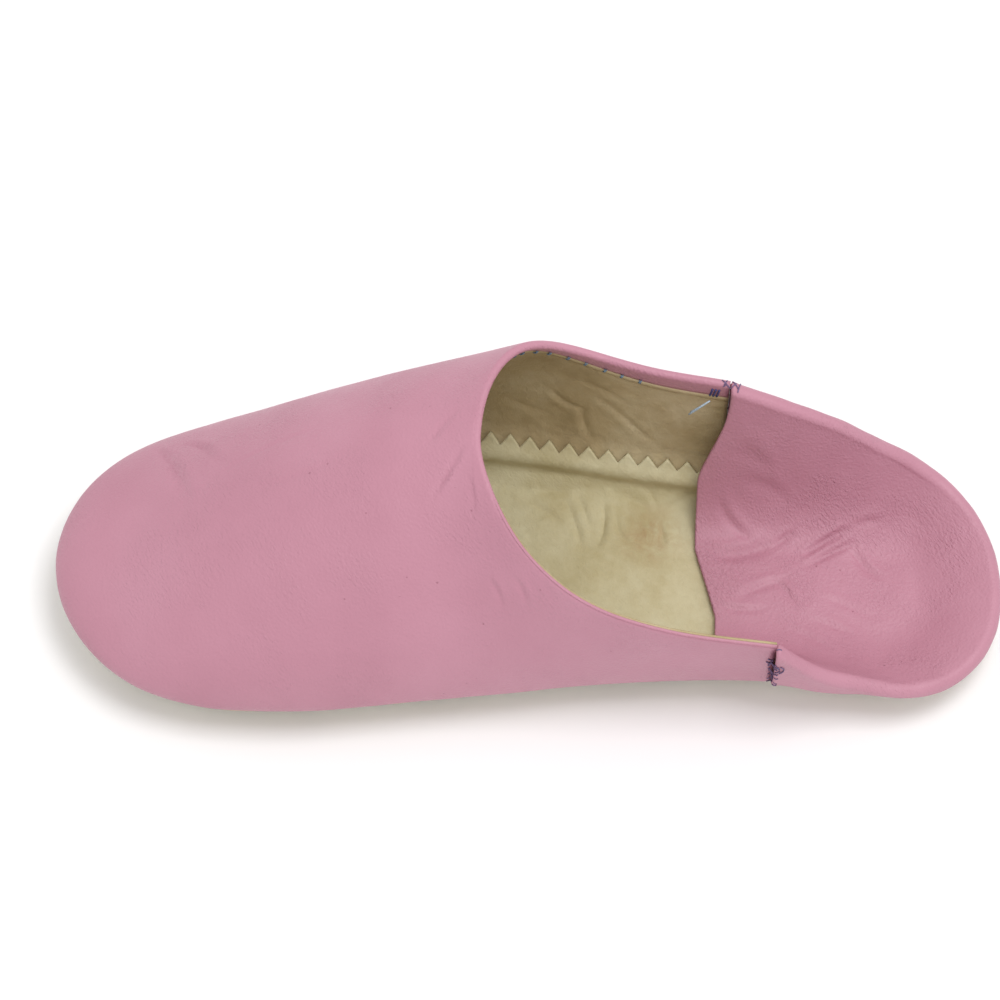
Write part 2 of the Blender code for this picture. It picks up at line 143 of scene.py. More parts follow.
# Sections across the last, a row at each share of the length. medial and lateral are half widths at the
# sole seam, as shares of the width there. instep and toe add up to the crown's height above the seam, as
# shares of the instep's and the toe's. The lean columns push the wall out and the breadth columns widen
# the shoulders, as shares of the half width. shift moves the crown to the medial side, by ball widths.
Section = namedtuple(
    "Section",
    "at medial lateral instep toe medial_lean lateral_lean medial_breadth lateral_breadth shift",
)
SECTIONS = (
    Section(0.000, 0.58, 0.46, 0.80, 0.0, 0.12, 0.20, 0.56, 0.58, -0.01),
    Section(0.120, 0.53, 0.50, 1.44, 0.0, 0.22, 0.21, 0.56, 0.58, -0.01),
    Section(0.248, 0.475, 0.51, 1.76, 0.0, 0.41, 0.39, 0.60, 0.73, -0.01),
    Section(0.397, 0.46, 0.52, 1.52, 0.0, 0.32, 0.43, 0.55, 0.83, -0.05),
    Section(0.496, 0.47, 0.53, 1.15, 0.0, 0.21, 0.39, 0.50, 0.91, -0.08),
    Section(0.556, 0.48, 0.53, 0.94, 0.0, 0.16, 0.35, 0.46, 0.90, -0.09),
    Section(0.645, 0.50, 0.52, 0.79, 0.0, 0.11, 0.27, 0.48, 0.78, -0.07),
    Section(0.744, 0.52, 0.50, 0.625, 0.0, 0.08, 0.18, 0.52, 0.68, -0.03),
    Section(0.844, 0.525, 0.458, 0.45, 0.0, 0.06, 0.14, 0.56, 0.62, -0.01),
    Section(0.923, 0.535, 0.465, 0.00, 1.0, 0.06, 0.12, 0.58, 0.60, -0.01),
    Section(1.000, 0.525, 0.475, 0.00, 0.9, 0.06, 0.12, 0.58, 0.60, -0.01),
)
BELLY_AT = 0.45
TURN_AT = 0.80

# The collar's height on its way from the side seam to the throat, as a share of its rise to the instep
Collar = namedtuple("Collar", "at medial lateral")
COLLAR = (
    Collar(0.00, 0.00, 0.00),
    Collar(0.35, 0.20, 0.05),
    Collar(0.65, 0.50, 0.38),
    Collar(0.90, 0.84, 0.85),
    Collar(1.00, 1.00, 1.00),
)

# The heel fold's height and bulge on its way from the back of the heel to the side seam, as shares of the
# quarter's rise and of the fold's bulge
Fold = namedtuple("Fold", "at medial lateral medial_bulge lateral_bulge")
FOLDS = (
    Fold(0.0, 0.00, 0.00, 0.85, 0.85),
    Fold(0.2, 0.03, 0.14, 0.65, 0.50),
    Fold(0.4, 0.12, 0.40, 0.35, 0.20),
    Fold(0.6, 0.24, 0.68, 0.35, 0.15),
    Fold(0.8, 0.48, 0.85, 0.60, 0.10),
    Fold(1.0, 1.00, 1.00, 0.60, 0.00),
)

# Where the flap bends on its way from the fold to the middle of the floor, as shares of the way and height.
# Over a low wall it leaves the fold nearly level, and the fold turns less.
FLAP_SPREAD = 0.15
FLAP_BEND_AT = 0.35
FLAP_FLAT_AT = 0.70
LOW_FLAP_LEAD = 0.30
LOW_FLAP_BEND_AT = 0.55
LOW_FOLD_TURN = math.radians(105)

# Between which shares of its way down from the fold the flap slides forward to its edge
FLAP_SLIDE = {MEDIAL: (0.20, 0.70), LATERAL: (0.00, 0.45)}

# How finely the skins are sampled
WALL_SAMPLES = 400
COLLAR_STATIONS = 90
VAMP_STATIONS = 88
TOE_STATIONS = 60
HEEL_STATIONS = 30
SIDE_STATIONS = 220
QUARTER_STATIONS = 90
UPPER_COLUMNS = 90
LINING_COLUMNS = 50
ROLL_STEPS = 10
TURN_IN_STEPS = 4
FLAT_COLUMNS = 36
ROUND_COLUMNS = 24
STEPS_PER_TOOTH = 8
INSOLE_CURVE_COLUMNS = 10
INSOLE_WALL_COLUMNS = 8
QUARTER_WALL_COLUMNS = 24
WALL_FADE_COLUMNS = 4
FOLD_COLUMNS = 16
FLAP_COLUMNS = 70
SPINE_COLUMNS = 20

# Photographed view: the camera's direction and distance from a point inside the shoe, and its framing
VIEW_AZIMUTH = 181.8
VIEW_ELEVATION = 63.0
VIEW_DISTANCE = 1.0
VIEW_TARGET = (0.00055, 0.0019, 0.02)
VIEW_LENS = 133.2
VIEW_SHIFT = (-0.027, 0.060)


def smooth(share):
    """Soft step from 0 to 1."""
    share = np.clip(share, 0.0, 1.0)
    return share * share * (3.0 - 2.0 * share)


def column(rows, name, at):
    """Value of a table's column at a share of the way, on a smooth curve through its rows."""
    places = np.array([row.at for row in rows])
    values = np.array([getattr(row, name) for row in rows])
    slopes = np.gradient(values, places)
    before = int(np.clip(np.searchsorted(places, at) - 1, 0, len(rows) - 2))
    span = places[before + 1] - places[before]
    way = float(np.clip((at - places[before]) / span, 0.0, 1.0))
    rise = values[before + 1] - values[before]
    leave = slopes[before] * span - rise
    arrive = rise - slopes[before + 1] * span
    return float(values[before] + way * rise + way * (1 - way) * ((1 - way) * leave + way * arrive))


def bezier(points, way):
    """Points on a cubic curve with four control points."""
    first, second, third, fourth = (np.array(point) for point in points)
    way = np.asarray(way, float)[..., None]
    back = 1.0 - way
    return back**3 * first + 3 * back**2 * way * second + 3 * back * way**2 * third + way**3 * fourth


def toe_share(at):
    """1 behind the toe cap, falling to 0 at the tip as an ellipse does."""
    reach = max((at - TOE_CENTRE_AT) / (1.0 - TOE_CENTRE_AT), 0.0)
    return math.sqrt(max(1.0 - reach**2, 0.0))


def heel_share(at):
    """1 in front of the heel cap, falling to 0 at the back as an ellipse does."""
    reach = max((HEEL_CENTRE_AT - at) / HEEL_CENTRE_AT, 0.0)
    return math.sqrt(max(1.0 - reach**2, 0.0))


@lru_cache(maxsize=None)
def local_width(at):
    """Heel width behind, ball width in front, with a soft change along the waist."""
    way = float(smooth((at - WAIST_FROM_AT) / (WAIST_TO_AT - WAIST_FROM_AT)))
    return HEEL_WIDTH + (BALL_WIDTH - HEEL_WIDTH) * way


@lru_cache(maxsize=None)
def half_width(at):
    both = column(SECTIONS, "medial", at) + column(SECTIONS, "lateral", at)
    return both * local_width(at) / 2


@lru_cache(maxsize=None)
def middle(at):
    """Across the shoe, the middle of the seam outline, which bends it to the right foot's curve."""
    uneven = column(SECTIONS, "medial", at) - column(SECTIONS, "lateral", at)
    return uneven * local_width(at) / 2


def toe_lift(at):
    return TOE_SPRING * float(smooth((at - TOE_CENTRE_AT) / (1.0 - TOE_CENTRE_AT)))


def heel_lift(at):
    return HEEL_LIFT * float(smooth((HEEL_CENTRE_AT - at) / HEEL_CENTRE_AT))


def seam_height(at):
    """Height of the seam between sole and upper."""
    return SEAM_HEIGHT + toe_lift(at) + heel_lift(at)


def bottom_height(at):
    """Height of the sole's lower face: flat at heel and ball, lifted at toe, arch and heel."""
    way = min(max((at - ARCH_FROM_AT) / (ARCH_TO_AT - ARCH_FROM_AT), 0.0), 1.0)
    return toe_lift(at) + heel_lift(at) + ARCH_LIFT * math.sin(math.pi * way) ** 2


@lru_cache(maxsize=None)
def wall_controls(at, side):
    """Control points of the wall across the shoe, seam to crown, as (distance from the middle, height)."""
    name = SIDE_NAME[side]
    cap = toe_share(at)
    half = half_width(at) * cap
    base = seam_height(at) + GAP + EDGE_BAND
    instep = column(SECTIONS, "instep", at) * (INSTEP_HEIGHT - SEAM_HEIGHT)
    toe = column(SECTIONS, "toe", at) * (TOE_HEIGHT - SEAM_HEIGHT)
    rise = (instep + toe) * cap
    lean = column(SECTIONS, name + "_lean", at) * half
    breadth = column(SECTIONS, name + "_breadth", at) * half
    shift = side * column(SECTIONS, "shift", at) * BALL_WIDTH * cap
    return (
        (half, base),
        (half + lean, base + BELLY_AT * rise),
        (shift + breadth, base + rise),
        (shift, base + rise),
    )


Wall = namedtuple("Wall", "ways across heights lengths")


@lru_cache(maxsize=None)
def wall(at, side):
    """The wall from seam to crown at one place along the shoe, with its length up from the seam."""
    ways = np.linspace(0.0, 1.0, WALL_SAMPLES)
    across, heights = bezier(wall_controls(at, side), ways).T
    steps = np.hypot(np.diff(across), np.diff(heights))
    return Wall(ways, across, heights, np.concatenate(([0.0], np.cumsum(steps))))


def tuck(rise):
    """How far the wall is drawn in at a rise above the sole seam, below where it bulges over the sole."""
    share = np.clip(1.0 - rise / TUCK_HEIGHT, 0.0, 1.0)
    return TUCK * share**2


def wall_out(at, side, height):
    """How far the wall's outer face stands out from the sole seam at a height."""
    curve = wall(at, side)
    out = np.interp(height, curve.heights, curve.across) - curve.across[0]
    return float(out + TUCK - tuck(height - curve.heights[0]))


def rounded_over(height):
    """Soften the top of the instep, so that the collar's peak is round and not sharp."""
    start = INSTEP_HEIGHT - INSTEP_ROUND
    over = np.maximum(height - start, 0.0)
    return np.minimum(height, start) + INSTEP_ROUND * np.tanh(over / INSTEP_ROUND)


def throat_at(inset):
    return THROAT_AT + inset / SHOE_LENGTH


def collar_height(at, side, inset=0.0):
    """Height of a line along the collar between side seam and throat, a distance in from its edge."""
    way = (at - SEAM_AT[side]) / (throat_at(inset) - SEAM_AT[side])
    throat = wall_controls(throat_at(inset), side)[3][1]
    start = QUARTER_HEIGHT[side] - inset
    return start + column(COLLAR, SIDE_NAME[side], way) * (throat - start)


def widest(side):
    """Furthest reach of the walls to one side."""
    stations = np.linspace(THROAT_AT, 1.0, 56)
    return side * max(side * middle(at) + wall(at, side).across.max() for at in stations)


# Middle of the box: the fold reaches out behind the heel, and the toe is drawn in
CENTRE_X = (SHOE_LENGTH - HEEL_REACH - TOE_DRAW) / 2
CENTRE_Y = (widest(MEDIAL) + widest(LATERAL)) / 2


def place(x, y, z):
    """From heel-based places to the frame, centred on the floor below the slipper's box."""
    return np.stack(np.broadcast_arrays(x - CENTRE_X, y - CENTRE_Y, z), axis=-1).astype(float)


Spoke = namedtuple("Spoke", "at side rim foot length")


@lru_cache(maxsize=None)
def spoke(at, side):
    """Line in plan from the seam outline to the middle, or to the centre of the toe or heel cap."""
    foot_at = min(max(at, HEEL_CENTRE_AT), TOE_CENTRE_AT)
    across = side * half_width(at) * toe_share(at) * heel_share(at)
    outline = np.array((at * SHOE_LENGTH, middle(at) + across))
    foot = np.array((foot_at * SHOE_LENGTH, middle(foot_at)))
    reach = float(np.linalg.norm(outline - foot))
    rim = foot + (outline - foot) * (reach - TUCK) / reach
    return Spoke(at, side, rim, foot, reach - TUCK)


def out_way(line):
    """Direction out along a spoke, in plan."""
    return (line.rim - line.foot) / line.length


def along_spoke(line, out):
    """Place in plan on a spoke, a distance out from the rim; inside it the distance is below zero."""
    return line.foot + out_way(line) * (line.length + out)


def heel_stations(count):
    """Shares of the length round the heel cap, from the back to where it meets the side."""
    angles = np.linspace(math.pi / 2, 0.0, count + 1)
    return [HEEL_CENTRE_AT * (1.0 - math.sin(angle)) for angle in angles]


def toe_stations(count):
    """Shares of the length round the toe cap, from where it meets the side to the tip."""
    angles = np.linspace(0.0, math.pi / 2, count + 1)
    return [TOE_CENTRE_AT + (1.0 - TOE_CENTRE_AT) * math.sin(angle) for angle in angles]


def round_stations(sides):
    """Shares of the length from the back of the heel to the toe's tip, with even steps between the caps."""
    beside = list(np.linspace(HEEL_CENTRE_AT, TOE_CENTRE_AT, sides + 1))
    return heel_stations(HEEL_STATIONS)[:-1] + beside + toe_stations(TOE_STATIONS)[1:]


# Creases: soft troughs along bowed lines between two points, in a skin's own two directions
Crease = namedtuple("Crease", "x y to_x to_y bow depth width")
CREASE_RIDGE = 0.5
CREASE_RIDGE_OFF = 1.8
CREASE_FADE = 0.7


def creases(*rows):
    """A table of creases in metres, from one in millimetres."""
    return [Crease(*(value / 1000 for value in row)) for row in rows]


def crease_relief(table, x, y):
    """Heights over a skin of troughs, each with a low ridge beside it, that fade out at both ends."""
    total = np.zeros_like(x)
    for crease in table:
        run = np.array((crease.to_x - crease.x, crease.to_y - crease.y))
        length = np.linalg.norm(run)
        way = ((x - crease.x) * run[0] + (y - crease.y) * run[1]) / length**2
        inside = np.clip(way, 0.0, 1.0)
        off = ((y - crease.y) * run[0] - (x - crease.x) * run[1]) / length
        off = (off - crease.bow * 4.0 * inside * (1.0 - inside)) / crease.width
        ridge = CREASE_RIDGE * np.exp(-((off - CREASE_RIDGE_OFF) ** 2))
        total += crease.depth * np.sin(math.pi * inside) ** CREASE_FADE * (ridge - np.exp(-(off**2)))
    return total


# Waves of each skin, in layers of (depth, size, seed)
UPPER_WAVES = ((0.00022, 0.024, 3.1), (0.00006, 0.007, 7.7))
LINING_WAVES = ((0.00016, 0.012, 1.3), (0.00010, 0.004, 6.3))
SOLE_WAVES = ((0.00022, 0.014, 5.0), (0.00011, 0.005, 9.0))
SOLE_WAVE_DEPTH = 0.00022
SOLE_WAVE_FADE = 0.004
FLOOR_CLEARANCE = 0.0002
FLOOR_FADE = 0.002
INSOLE_WAVES = ((0.00022, 0.011, 2.0), (0.00012, 0.0045, 8.0))
INSOLE_WAVE_LIFT = 0.00012
QUARTER_WAVES = ((0.00012, 0.005, 2.7),)
FLAP_WAVES = ((0.00045, 0.016, 4.4),)


def unevenness(x, y, layers):
    """Soft waves over a skin, up and down, from layers of noise."""
    total = np.zeros_like(x)
    for depth, size, seed in layers:
        flat = [noise.noise(Vector((a / size, b / size, seed))) for a, b in zip(x.ravel(), y.ravel())]
        total += depth * np.reshape(flat, x.shape)
    return total


def sole_seam_relief(distance, run):
    """A groove where the upper meets the sole, drawn in a little more at each stitch."""
    pull = 1.0 + STITCH_PULL * np.cos(2 * math.pi * run / STITCH_PITCH)
    return -SEAM_GROOVE * pull * np.exp(-((distance / SEAM_GROOVE_WIDTH) ** 2))


def side_seam_relief(distance):
    """A low ridge at the side seam, where both edges are turned in, with a sharp groove between them."""
    ridge = SIDE_RIDGE * np.exp(-((distance / SIDE_RIDGE_WIDTH) ** 2))
    return ridge - SIDE_GROOVE * np.exp(-((distance / SIDE_GROOVE_WIDTH) ** 2))


# Meshes
def add_grid(body, points, flip):
    """Faces between the rows and columns of a grid of points."""
    verts = [[body.verts.new(point) for point in row] for row in points]
    if flip:
        verts = verts[::-1]
    for row, following in zip(verts, verts[1:]):
        for k in range(len(row) - 1):
            body.faces.new((row[k], row[k + 1], following[k + 1], following[k]))


def finish_piece(name, body, material, wall_thickness=0.0):
    """Weld a mesh, make it an object, thicken it away from its outer face and put it on the root body."""
    bmesh.ops.remove_doubles(body, verts=body.verts, dist=SKIN_WELD)
    mesh = bpy.data.meshes.new(name)
    body.to_mesh(mesh)
    body.free()
    mesh.shade_smooth()
    piece = bpy.data.objects.new(name, mesh)
    bpy.context.scene.collection.objects.link(piece)
    mesh.materials.append(material)
    if wall_thickness:
        thicken = piece.modifiers.new("wall", "SOLIDIFY")
        thicken.thickness = wall_thickness
        thicken.offset = -1.0
    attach(piece, "root")
    return piece


def normals_beside(points, other, side, closed_toe):
    """Normals of one half of a piece, the same as the other half's where they meet.

    The halves meet at the first row, behind the heel, and at the last column, in the middle, and where
    closed_toe also at the last row.
    """
    rows = [other[1:2], points]
    if closed_toe:
        rows.append(other[-2:-1])
    ahead = np.gradient(np.concatenate(rows), axis=0)[1 : len(points) + 1]
    inward = np.gradient(np.concatenate((points, other[:, -2:-1]), axis=1), axis=1)[:, :-1]
    normals = side * np.cross(inward, ahead)
    normals[:, -1] = (0.0, 0.0, 1.0 if normals[len(points) // 2, -1, 2] > 0 else -1.0)
    return normals / np.maximum(np.linalg.norm(normals, axis=-1, keepdims=True), 1e-14)


# Upper
def on_wall(at, side, ways):
    """Points on the upper's outer face at one place along the shoe, at ways up its curve."""
    controls = wall_controls(at, side)
    across, heights = bezier(controls, ways).T
    drawn_in = tuck(heights - controls[0][1])
    x_way, y_way = out_way(spoke(at, side))
    y = middle(at) + side * across - y_way * drawn_in
    return place(at * SHOE_LENGTH - x_way * drawn_in, y, rounded_over(heights))


def outward(at, side, ways):
    """Outward directions of the upper's outer face."""
    step = min(1e-4, (1.0 - at) / 4)
    ahead = on_wall(at + step, side, ways) - on_wall(at - step, side, ways)
    up = on_wall(at, side, ways + 1e-4) - on_wall(at, side, ways - 1e-4)
    normals = side * np.cross(up, ahead)
    size = np.linalg.norm(normals, axis=-1, keepdims=True)
    return np.where(size > 1e-14, normals / np.maximum(size, 1e-14), (1.0, 0.0, 0.0))


UpperGrid = namedtuple("UpperGrid", "points normals x up down girth")


def upper_grid(side, inset, columns):
    """Grid on the upper's outer face: rows along the shoe, columns from the seam to collar or crown."""
    throat = throat_at(inset)
    run = np.linspace(0.0, 1.0, COLLAR_STATIONS + 1)
    stations = [SEAM_AT[side] + (throat - SEAM_AT[side]) * (1 - (1 - way) ** 2) for way in run]
    stations += list(np.linspace(throat, TOE_CENTRE_AT, VAMP_STATIONS + 1))[1:]
    stations += toe_stations(TOE_STATIONS)[1:]
    parts = []
    for at in stations:
        curve = wall(at, side)
        top = curve.lengths[-1]
        if at < throat:
            top = np.interp(collar_height(at, side, inset), curve.heights, curve.lengths)
        lengths = np.linspace(0.0, top, columns)
        ways = np.interp(lengths, curve.lengths, curve.ways)
        points = on_wall(at, side, ways)
        normals = outward(at, side, ways)
        foot = (points[:1] * (1, 1, 0)) + (0, 0, seam_height(at))
        points = np.concatenate((foot, points))
        normals = np.concatenate((normals[:1], normals))
        lengths = np.concatenate(((-GAP - EDGE_BAND,), lengths))
        x = np.full(columns + 1, at * SHOE_LENGTH)
        parts.append((points, normals, x, lengths, top - lengths, side * (curve.lengths[-1] - lengths)))
    return UpperGrid(*(np.array(part) for part in zip(*parts)))


# Creases of the upper, at places along the shoe and round it from the crown, medial side positive
UPPER_CREASES = creases(
    (230.0, -33.0, 220.5, -10.0, 1.2, 0.99, 1.0),
    (226.2, -30.0, 217.5, -7.0, 1.0, 0.77, 0.9),
    (221.5, -32.0, 212.0, -22.0, 0.6, 0.77, 0.9),
    (224.0, -23.0, 219.0, -2.0, 1.0, 0.35, 1.2),
    (217.0, -26.0, 208.0, -16.0, 0.5, 0.4, 0.8),
    (212.0, -13.0, 183.0, -19.0, 2.0, 0.18, 0.8),
    (202.0, -6.0, 174.0, -7.0, -2.0, 0.18, 0.8),
    (144.0, 2.0, 150.5, 12.5, 0.4, 0.66, 0.6),
    (146.2, 3.5, 152.5, 15.0, 0.5, 0.44, 0.6),
    (145.5, -10.0, 156.0, 3.0, -0.6, 0.4, 0.8),
    (143.0, 10.0, 141.0, 22.0, 0.5, 0.26, 0.7),
    (137.0, 40.0, 133.0, 51.0, 0.6, 0.35, 0.7),
    (130.0, 43.0, 126.5, 54.5, 0.6, 0.4, 0.7),
    (122.0, 45.0, 120.0, 56.0, 0.4, 0.31, 0.7),
    (115.0, 48.0, 112.0, 60.0, 0.4, 0.26, 0.7),
)


def upper_relief(grid, side):
    """Creases, unevenness and the seams' grooves, as heights over the upper's outer face."""
    heights = crease_relief(UPPER_CREASES, grid.x, grid.girth)
    heights += unevenness(grid.x, grid.girth, UPPER_WAVES)
    fade = smooth(grid.down / COLLAR_FADE)
    heights *= fade
    seam = side_seam_relief(grid.x - SEAM_AT[side] * SHOE_LENGTH) * fade
    return heights + seam + sole_seam_relief(grid.up, grid.x)


def collar_ways():
    """0 along the collar's medial side, turning to 1 round the throat and along the lateral side."""
    ways = np.linspace(0.0, 1.0, 2 * COLLAR_STATIONS + 1)
    return smooth((ways - LATERAL_FROM) / (LATERAL_TO - LATERAL_FROM))


def turn_in_lengths():
    """How far down inside the collar the pink leather goes, from the medial to the lateral seam."""
    lateral = collar_ways()
    near_seam = smooth((np.linspace(0.0, 1.0, len(lateral)) - NEAR_SEAM_FROM) / (1.0 - NEAR_SEAM_FROM))
    more_at_seam = LATERAL_TURN_IN_AT_SEAM - TURN_IN[LATERAL]
    return from_medial(TURN_IN, lateral) + more_at_seam * near_seam


def collar_frame(edges):
    """Edge points, outward normals and upward directions along the collar, from medial to lateral seam."""
    points = np.concatenate((edges[MEDIAL][0], edges[LATERAL][0][-2::-1]))
    normals = np.concatenate((edges[MEDIAL][1], edges[LATERAL][1][-2::-1]))
    away = np.cross(np.gradient(points, axis=0), normals)
    return points, normals, away / np.linalg.norm(away, axis=1, keepdims=True)


def from_medial(sizes, lateral):
    """A size on its way from its medial value to its lateral one."""
    return sizes[MEDIAL] + (sizes[LATERAL] - sizes[MEDIAL]) * lateral


def collar_strip(edges):
    """The pink leather's way over the collar's edge and down inside, in rows along the collar."""
    points, normals, away = collar_frame(edges)
    lateral = collar_ways()
    radius = from_medial(ROLL, lateral)[:, None]
    turn = from_medial(ROLL_TURN, lateral)[:, None]
    strip = []
    for share in np.linspace(0.0, 1.0, ROLL_STEPS):
        angle = turn * share
        outward_by = radius * (np.cos(angle) - 1)
        strip.append(points + normals * outward_by + ROLL_RISE * away * np.sin(angle))
    last = strip[-1]
    for share in np.linspace(0.0, 1.0, TURN_IN_STEPS + 1)[1:]:
        strip.append(last - away * turn_in_lengths()[:, None] * share)
    return np.stack(strip, axis=1)


def make_upper():
    """The vamp and both side walls in one skin, with the collar's edge turned over."""
    body = bmesh.new()
    edges = {}
    for side in SEAM_AT:
        grid = upper_grid(side, ROLL_RISE, UPPER_COLUMNS)
        points = grid.points + grid.normals * upper_relief(grid, side)[..., None]
        add_grid(body, points, side == LATERAL)
        edges[side] = (points[: COLLAR_STATIONS + 1, -1], grid.normals[: COLLAR_STATIONS + 1, -1])
    strip = collar_strip(edges)
    add_grid(body, strip, False)
    piece = finish_piece("upper_leather", body, pink_leather(), SKIN)
    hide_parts("upper")
    return piece, edges, strip


# Creases of the lining's lateral side, at places along the shoe and up from the sole seam
LINING_CREASES = creases(
    (122.5, 25.0, 112.5, 18.0, 1.5, 0.59, 1.0),
    (113.0, 20.0, 110.5, 6.0, 1.2, 0.65, 1.0),
    (140.0, 20.0, 120.0, 13.0, 0.6, 0.33, 0.9),
    (134.0, 17.0, 118.0, 10.0, 0.6, 0.29, 0.8),
    (129.0, 13.0, 116.0, 7.0, 0.4, 0.26, 0.8),
    (111.0, 26.0, 95.0, 9.0, -1.0, 0.39, 1.0),
    (116.0, 33.0, 100.0, 23.0, -1.0, 0.29, 1.0),
    (103.0, 20.0, 90.0, 6.0, 0.8, 0.33, 0.9),
    (88.0, 30.0, 83.0, 10.0, 0.6, 0.33, 1.0),
    (83.0, 28.0, 80.0, 9.0, 0.4, 0.26, 0.9),
)


# The lining's edge beside the end of the pink turn-in, as (inward, down) steps in millimetres. It stands up
# beside the pink on the medial side, and comes out from under the turn-in on the lateral side.
STANDING_EDGE = ((-0.2, 0.3), (0.2, -0.1), (0.6, -0.1), (1.0, 0.3), (1.1, 3.2))
COVERED_EDGE = ((-0.4, -0.4), (0.1, 0.0), (0.3, 0.4), (0.2, 1.2), (-0.3, 3.4))


def lining_edge(body, edges, strip):
    """The lining's own edge, in a strip that follows the collar beside the pink leather's."""
    _, normals, away = collar_frame(edges)
    lateral = collar_ways()[:, None]
    rows = []
    for standing, covered in zip(STANDING_EDGE, COVERED_EDGE):
        inward, down = ((a + (b - a) * lateral) / 1000 for a, b in zip(standing, covered))
        rows.append(strip[:, -1] - normals * inward - away * down)
    add_grid(body, np.stack(rows, axis=1), False)


def make_lining(edges, strip):
    body = bmesh.new()
    for side in SEAM_AT:
        grid = upper_grid(side, ROLL_RISE, LINING_COLUMNS)
        heights = unevenness(grid.x, grid.girth, LINING_WAVES)
        if side == LATERAL:
            heights -= crease_relief(LINING_CREASES, grid.x, grid.up)
        heights = heights * smooth(grid.down / COLLAR_FADE) - LINING_DEPTH
        add_grid(body, grid.points + grid.normals * heights[..., None], side == LATERAL)
    lining_edge(body, edges, strip)
    finish_piece("upper_lining", body, cream_lining(), LINING)


# Sole
def sole_grid(side):
    """Grid on the outsole's outer face: rows round the shoe, columns from the rim to the middle."""
    points, run, depth = [], [], []
    for at in round_stations(SIDE_STATIONS):
        line = spoke(at, side)
        seam = seam_height(at)
        row = []
        for angle in np.linspace(0.0, math.pi / 2, ROUND_COLUMNS + 1):
            x, y = along_spoke(line, -SOLE_EDGE_ROUND * (1.0 - math.cos(angle)))
            drop = seam - bottom_height(x / SHOE_LENGTH)
            row.append(place(x, y, seam - drop * math.sin(angle)))
        for out in np.linspace(-SOLE_EDGE_ROUND, -line.length, FLAT_COLUMNS)[1:]:
            x, y = along_spoke(line, out)
            row.append(place(x, y, bottom_height(x / SHOE_LENGTH)))
        points.append(row)
        run.append([at * SHOE_LENGTH] * len(row))
        depth.append([seam - point[2] for point in row])
    return np.array(points), np.array(run), np.array(depth)


def make_outsole():
    body = bmesh.new()
    grids = {side: sole_grid(side) for side in SEAM_AT}
    for side, (points, run, depth) in grids.items():
        waves = unevenness(points[..., 0], points[..., 1], SOLE_WAVES) - SOLE_WAVE_DEPTH
        heights = sole_seam_relief(depth, run) + waves * smooth(depth / SOLE_WAVE_FADE)
        heights *= smooth((points[..., 2] - FLOOR_CLEARANCE) / FLOOR_FADE)
        normals = normals_beside(points, grids[-side][0], -side, True)
        add_grid(body, points + normals * heights[..., None], side == MEDIAL)
    piece = finish_piece("outsole_leather", body, sole_leather(), SOLE_THICKNESS)
    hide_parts("outsole")


# Insole
def insole_raised(at):
    """1 where the insole's edge climbs the walls, 0 under the toe and the heel."""
    rising = smooth((at - EDGE_UP_FROM_AT) / (EDGE_UP_TO_AT - EDGE_UP_FROM_AT))
    falling = smooth((at - EDGE_DOWN_FROM_AT) / (EDGE_DOWN_TO_AT - EDGE_DOWN_FROM_AT))
    return float(rising * (1.0 - falling))


def insole_inset(at, side, height):
    """Distance in from the seam outline to the insole's lower face."""
    seam = seam_height(at)
    under = SOLE_THICKNESS + GAP
    if height > seam + WALL_CORNER:
        out = wall_out(at, side, height)
        slope = (wall_out(at, side, height + EDGE_BAND) - out) / EDGE_BAND
        inside = (UPPER_WALL + 3 * GAP) * math.hypot(1.0, slope) - out
        return under + (inside - under) * float(smooth((height - seam - WALL_CORNER) / WALL_CORNER))
    if height > seam:
        return under
    depth = seam - bottom_height(at) - under
    share = min((seam - height) / depth, 1.0)
    return SOLE_EDGE_ROUND - (SOLE_EDGE_ROUND - under) * math.sqrt(1.0 - share**2)


def insole_grid(side):
    """Grid on the insole's lower face: rows round the shoe, columns from the middle to the pinked edge."""
    teeth = round((TOE_CENTRE_AT - HEEL_CENTRE_AT) * SHOE_LENGTH / TOOTH_PITCH)
    grid = []
    for at in round_stations(teeth * STEPS_PER_TOOTH):
        line = spoke(at, side)
        seam = seam_height(at)
        raised = insole_raised(at)
        phase = (at - HEEL_CENTRE_AT) / (TOE_CENTRE_AT - HEEL_CENTRE_AT) * teeth % 1.0
        notch = TOOTH_DEPTH * raised * (1.0 - abs(2.0 * phase - 1.0))
        floor = bottom_height(at) + SOLE_THICKNESS + GAP
        top = seam + INSOLE_RISE * raised - INSOLE_DROP * (1 - raised) - notch
        row = []
        for out in np.linspace(-line.length, -SOLE_EDGE_ROUND, FLAT_COLUMNS)[:-1]:
            x, y = along_spoke(line, out)
            row.append(place(x, y, bottom_height(x / SHOE_LENGTH) + SOLE_THICKNESS + GAP))
        turn = min(seam, floor + (top - floor) * TURN_AT) - floor
        angles = np.linspace(0.0, math.pi / 2, INSOLE_CURVE_COLUMNS)
        rising = [floor + turn * (1.0 - math.cos(angle)) for angle in angles]
        rising += list(np.linspace(floor + turn, top, INSOLE_WALL_COLUMNS + 1))[1:]
        for height in rising:
            x, y = along_spoke(line, -insole_inset(at, side, height))
            lift = bottom_height(x / SHOE_LENGTH) - bottom_height(at)
            row.append(place(x, y, height + lift * max((seam - height) / (seam - floor), 0.0)))
        grid.append(row)
    return np.array(grid)


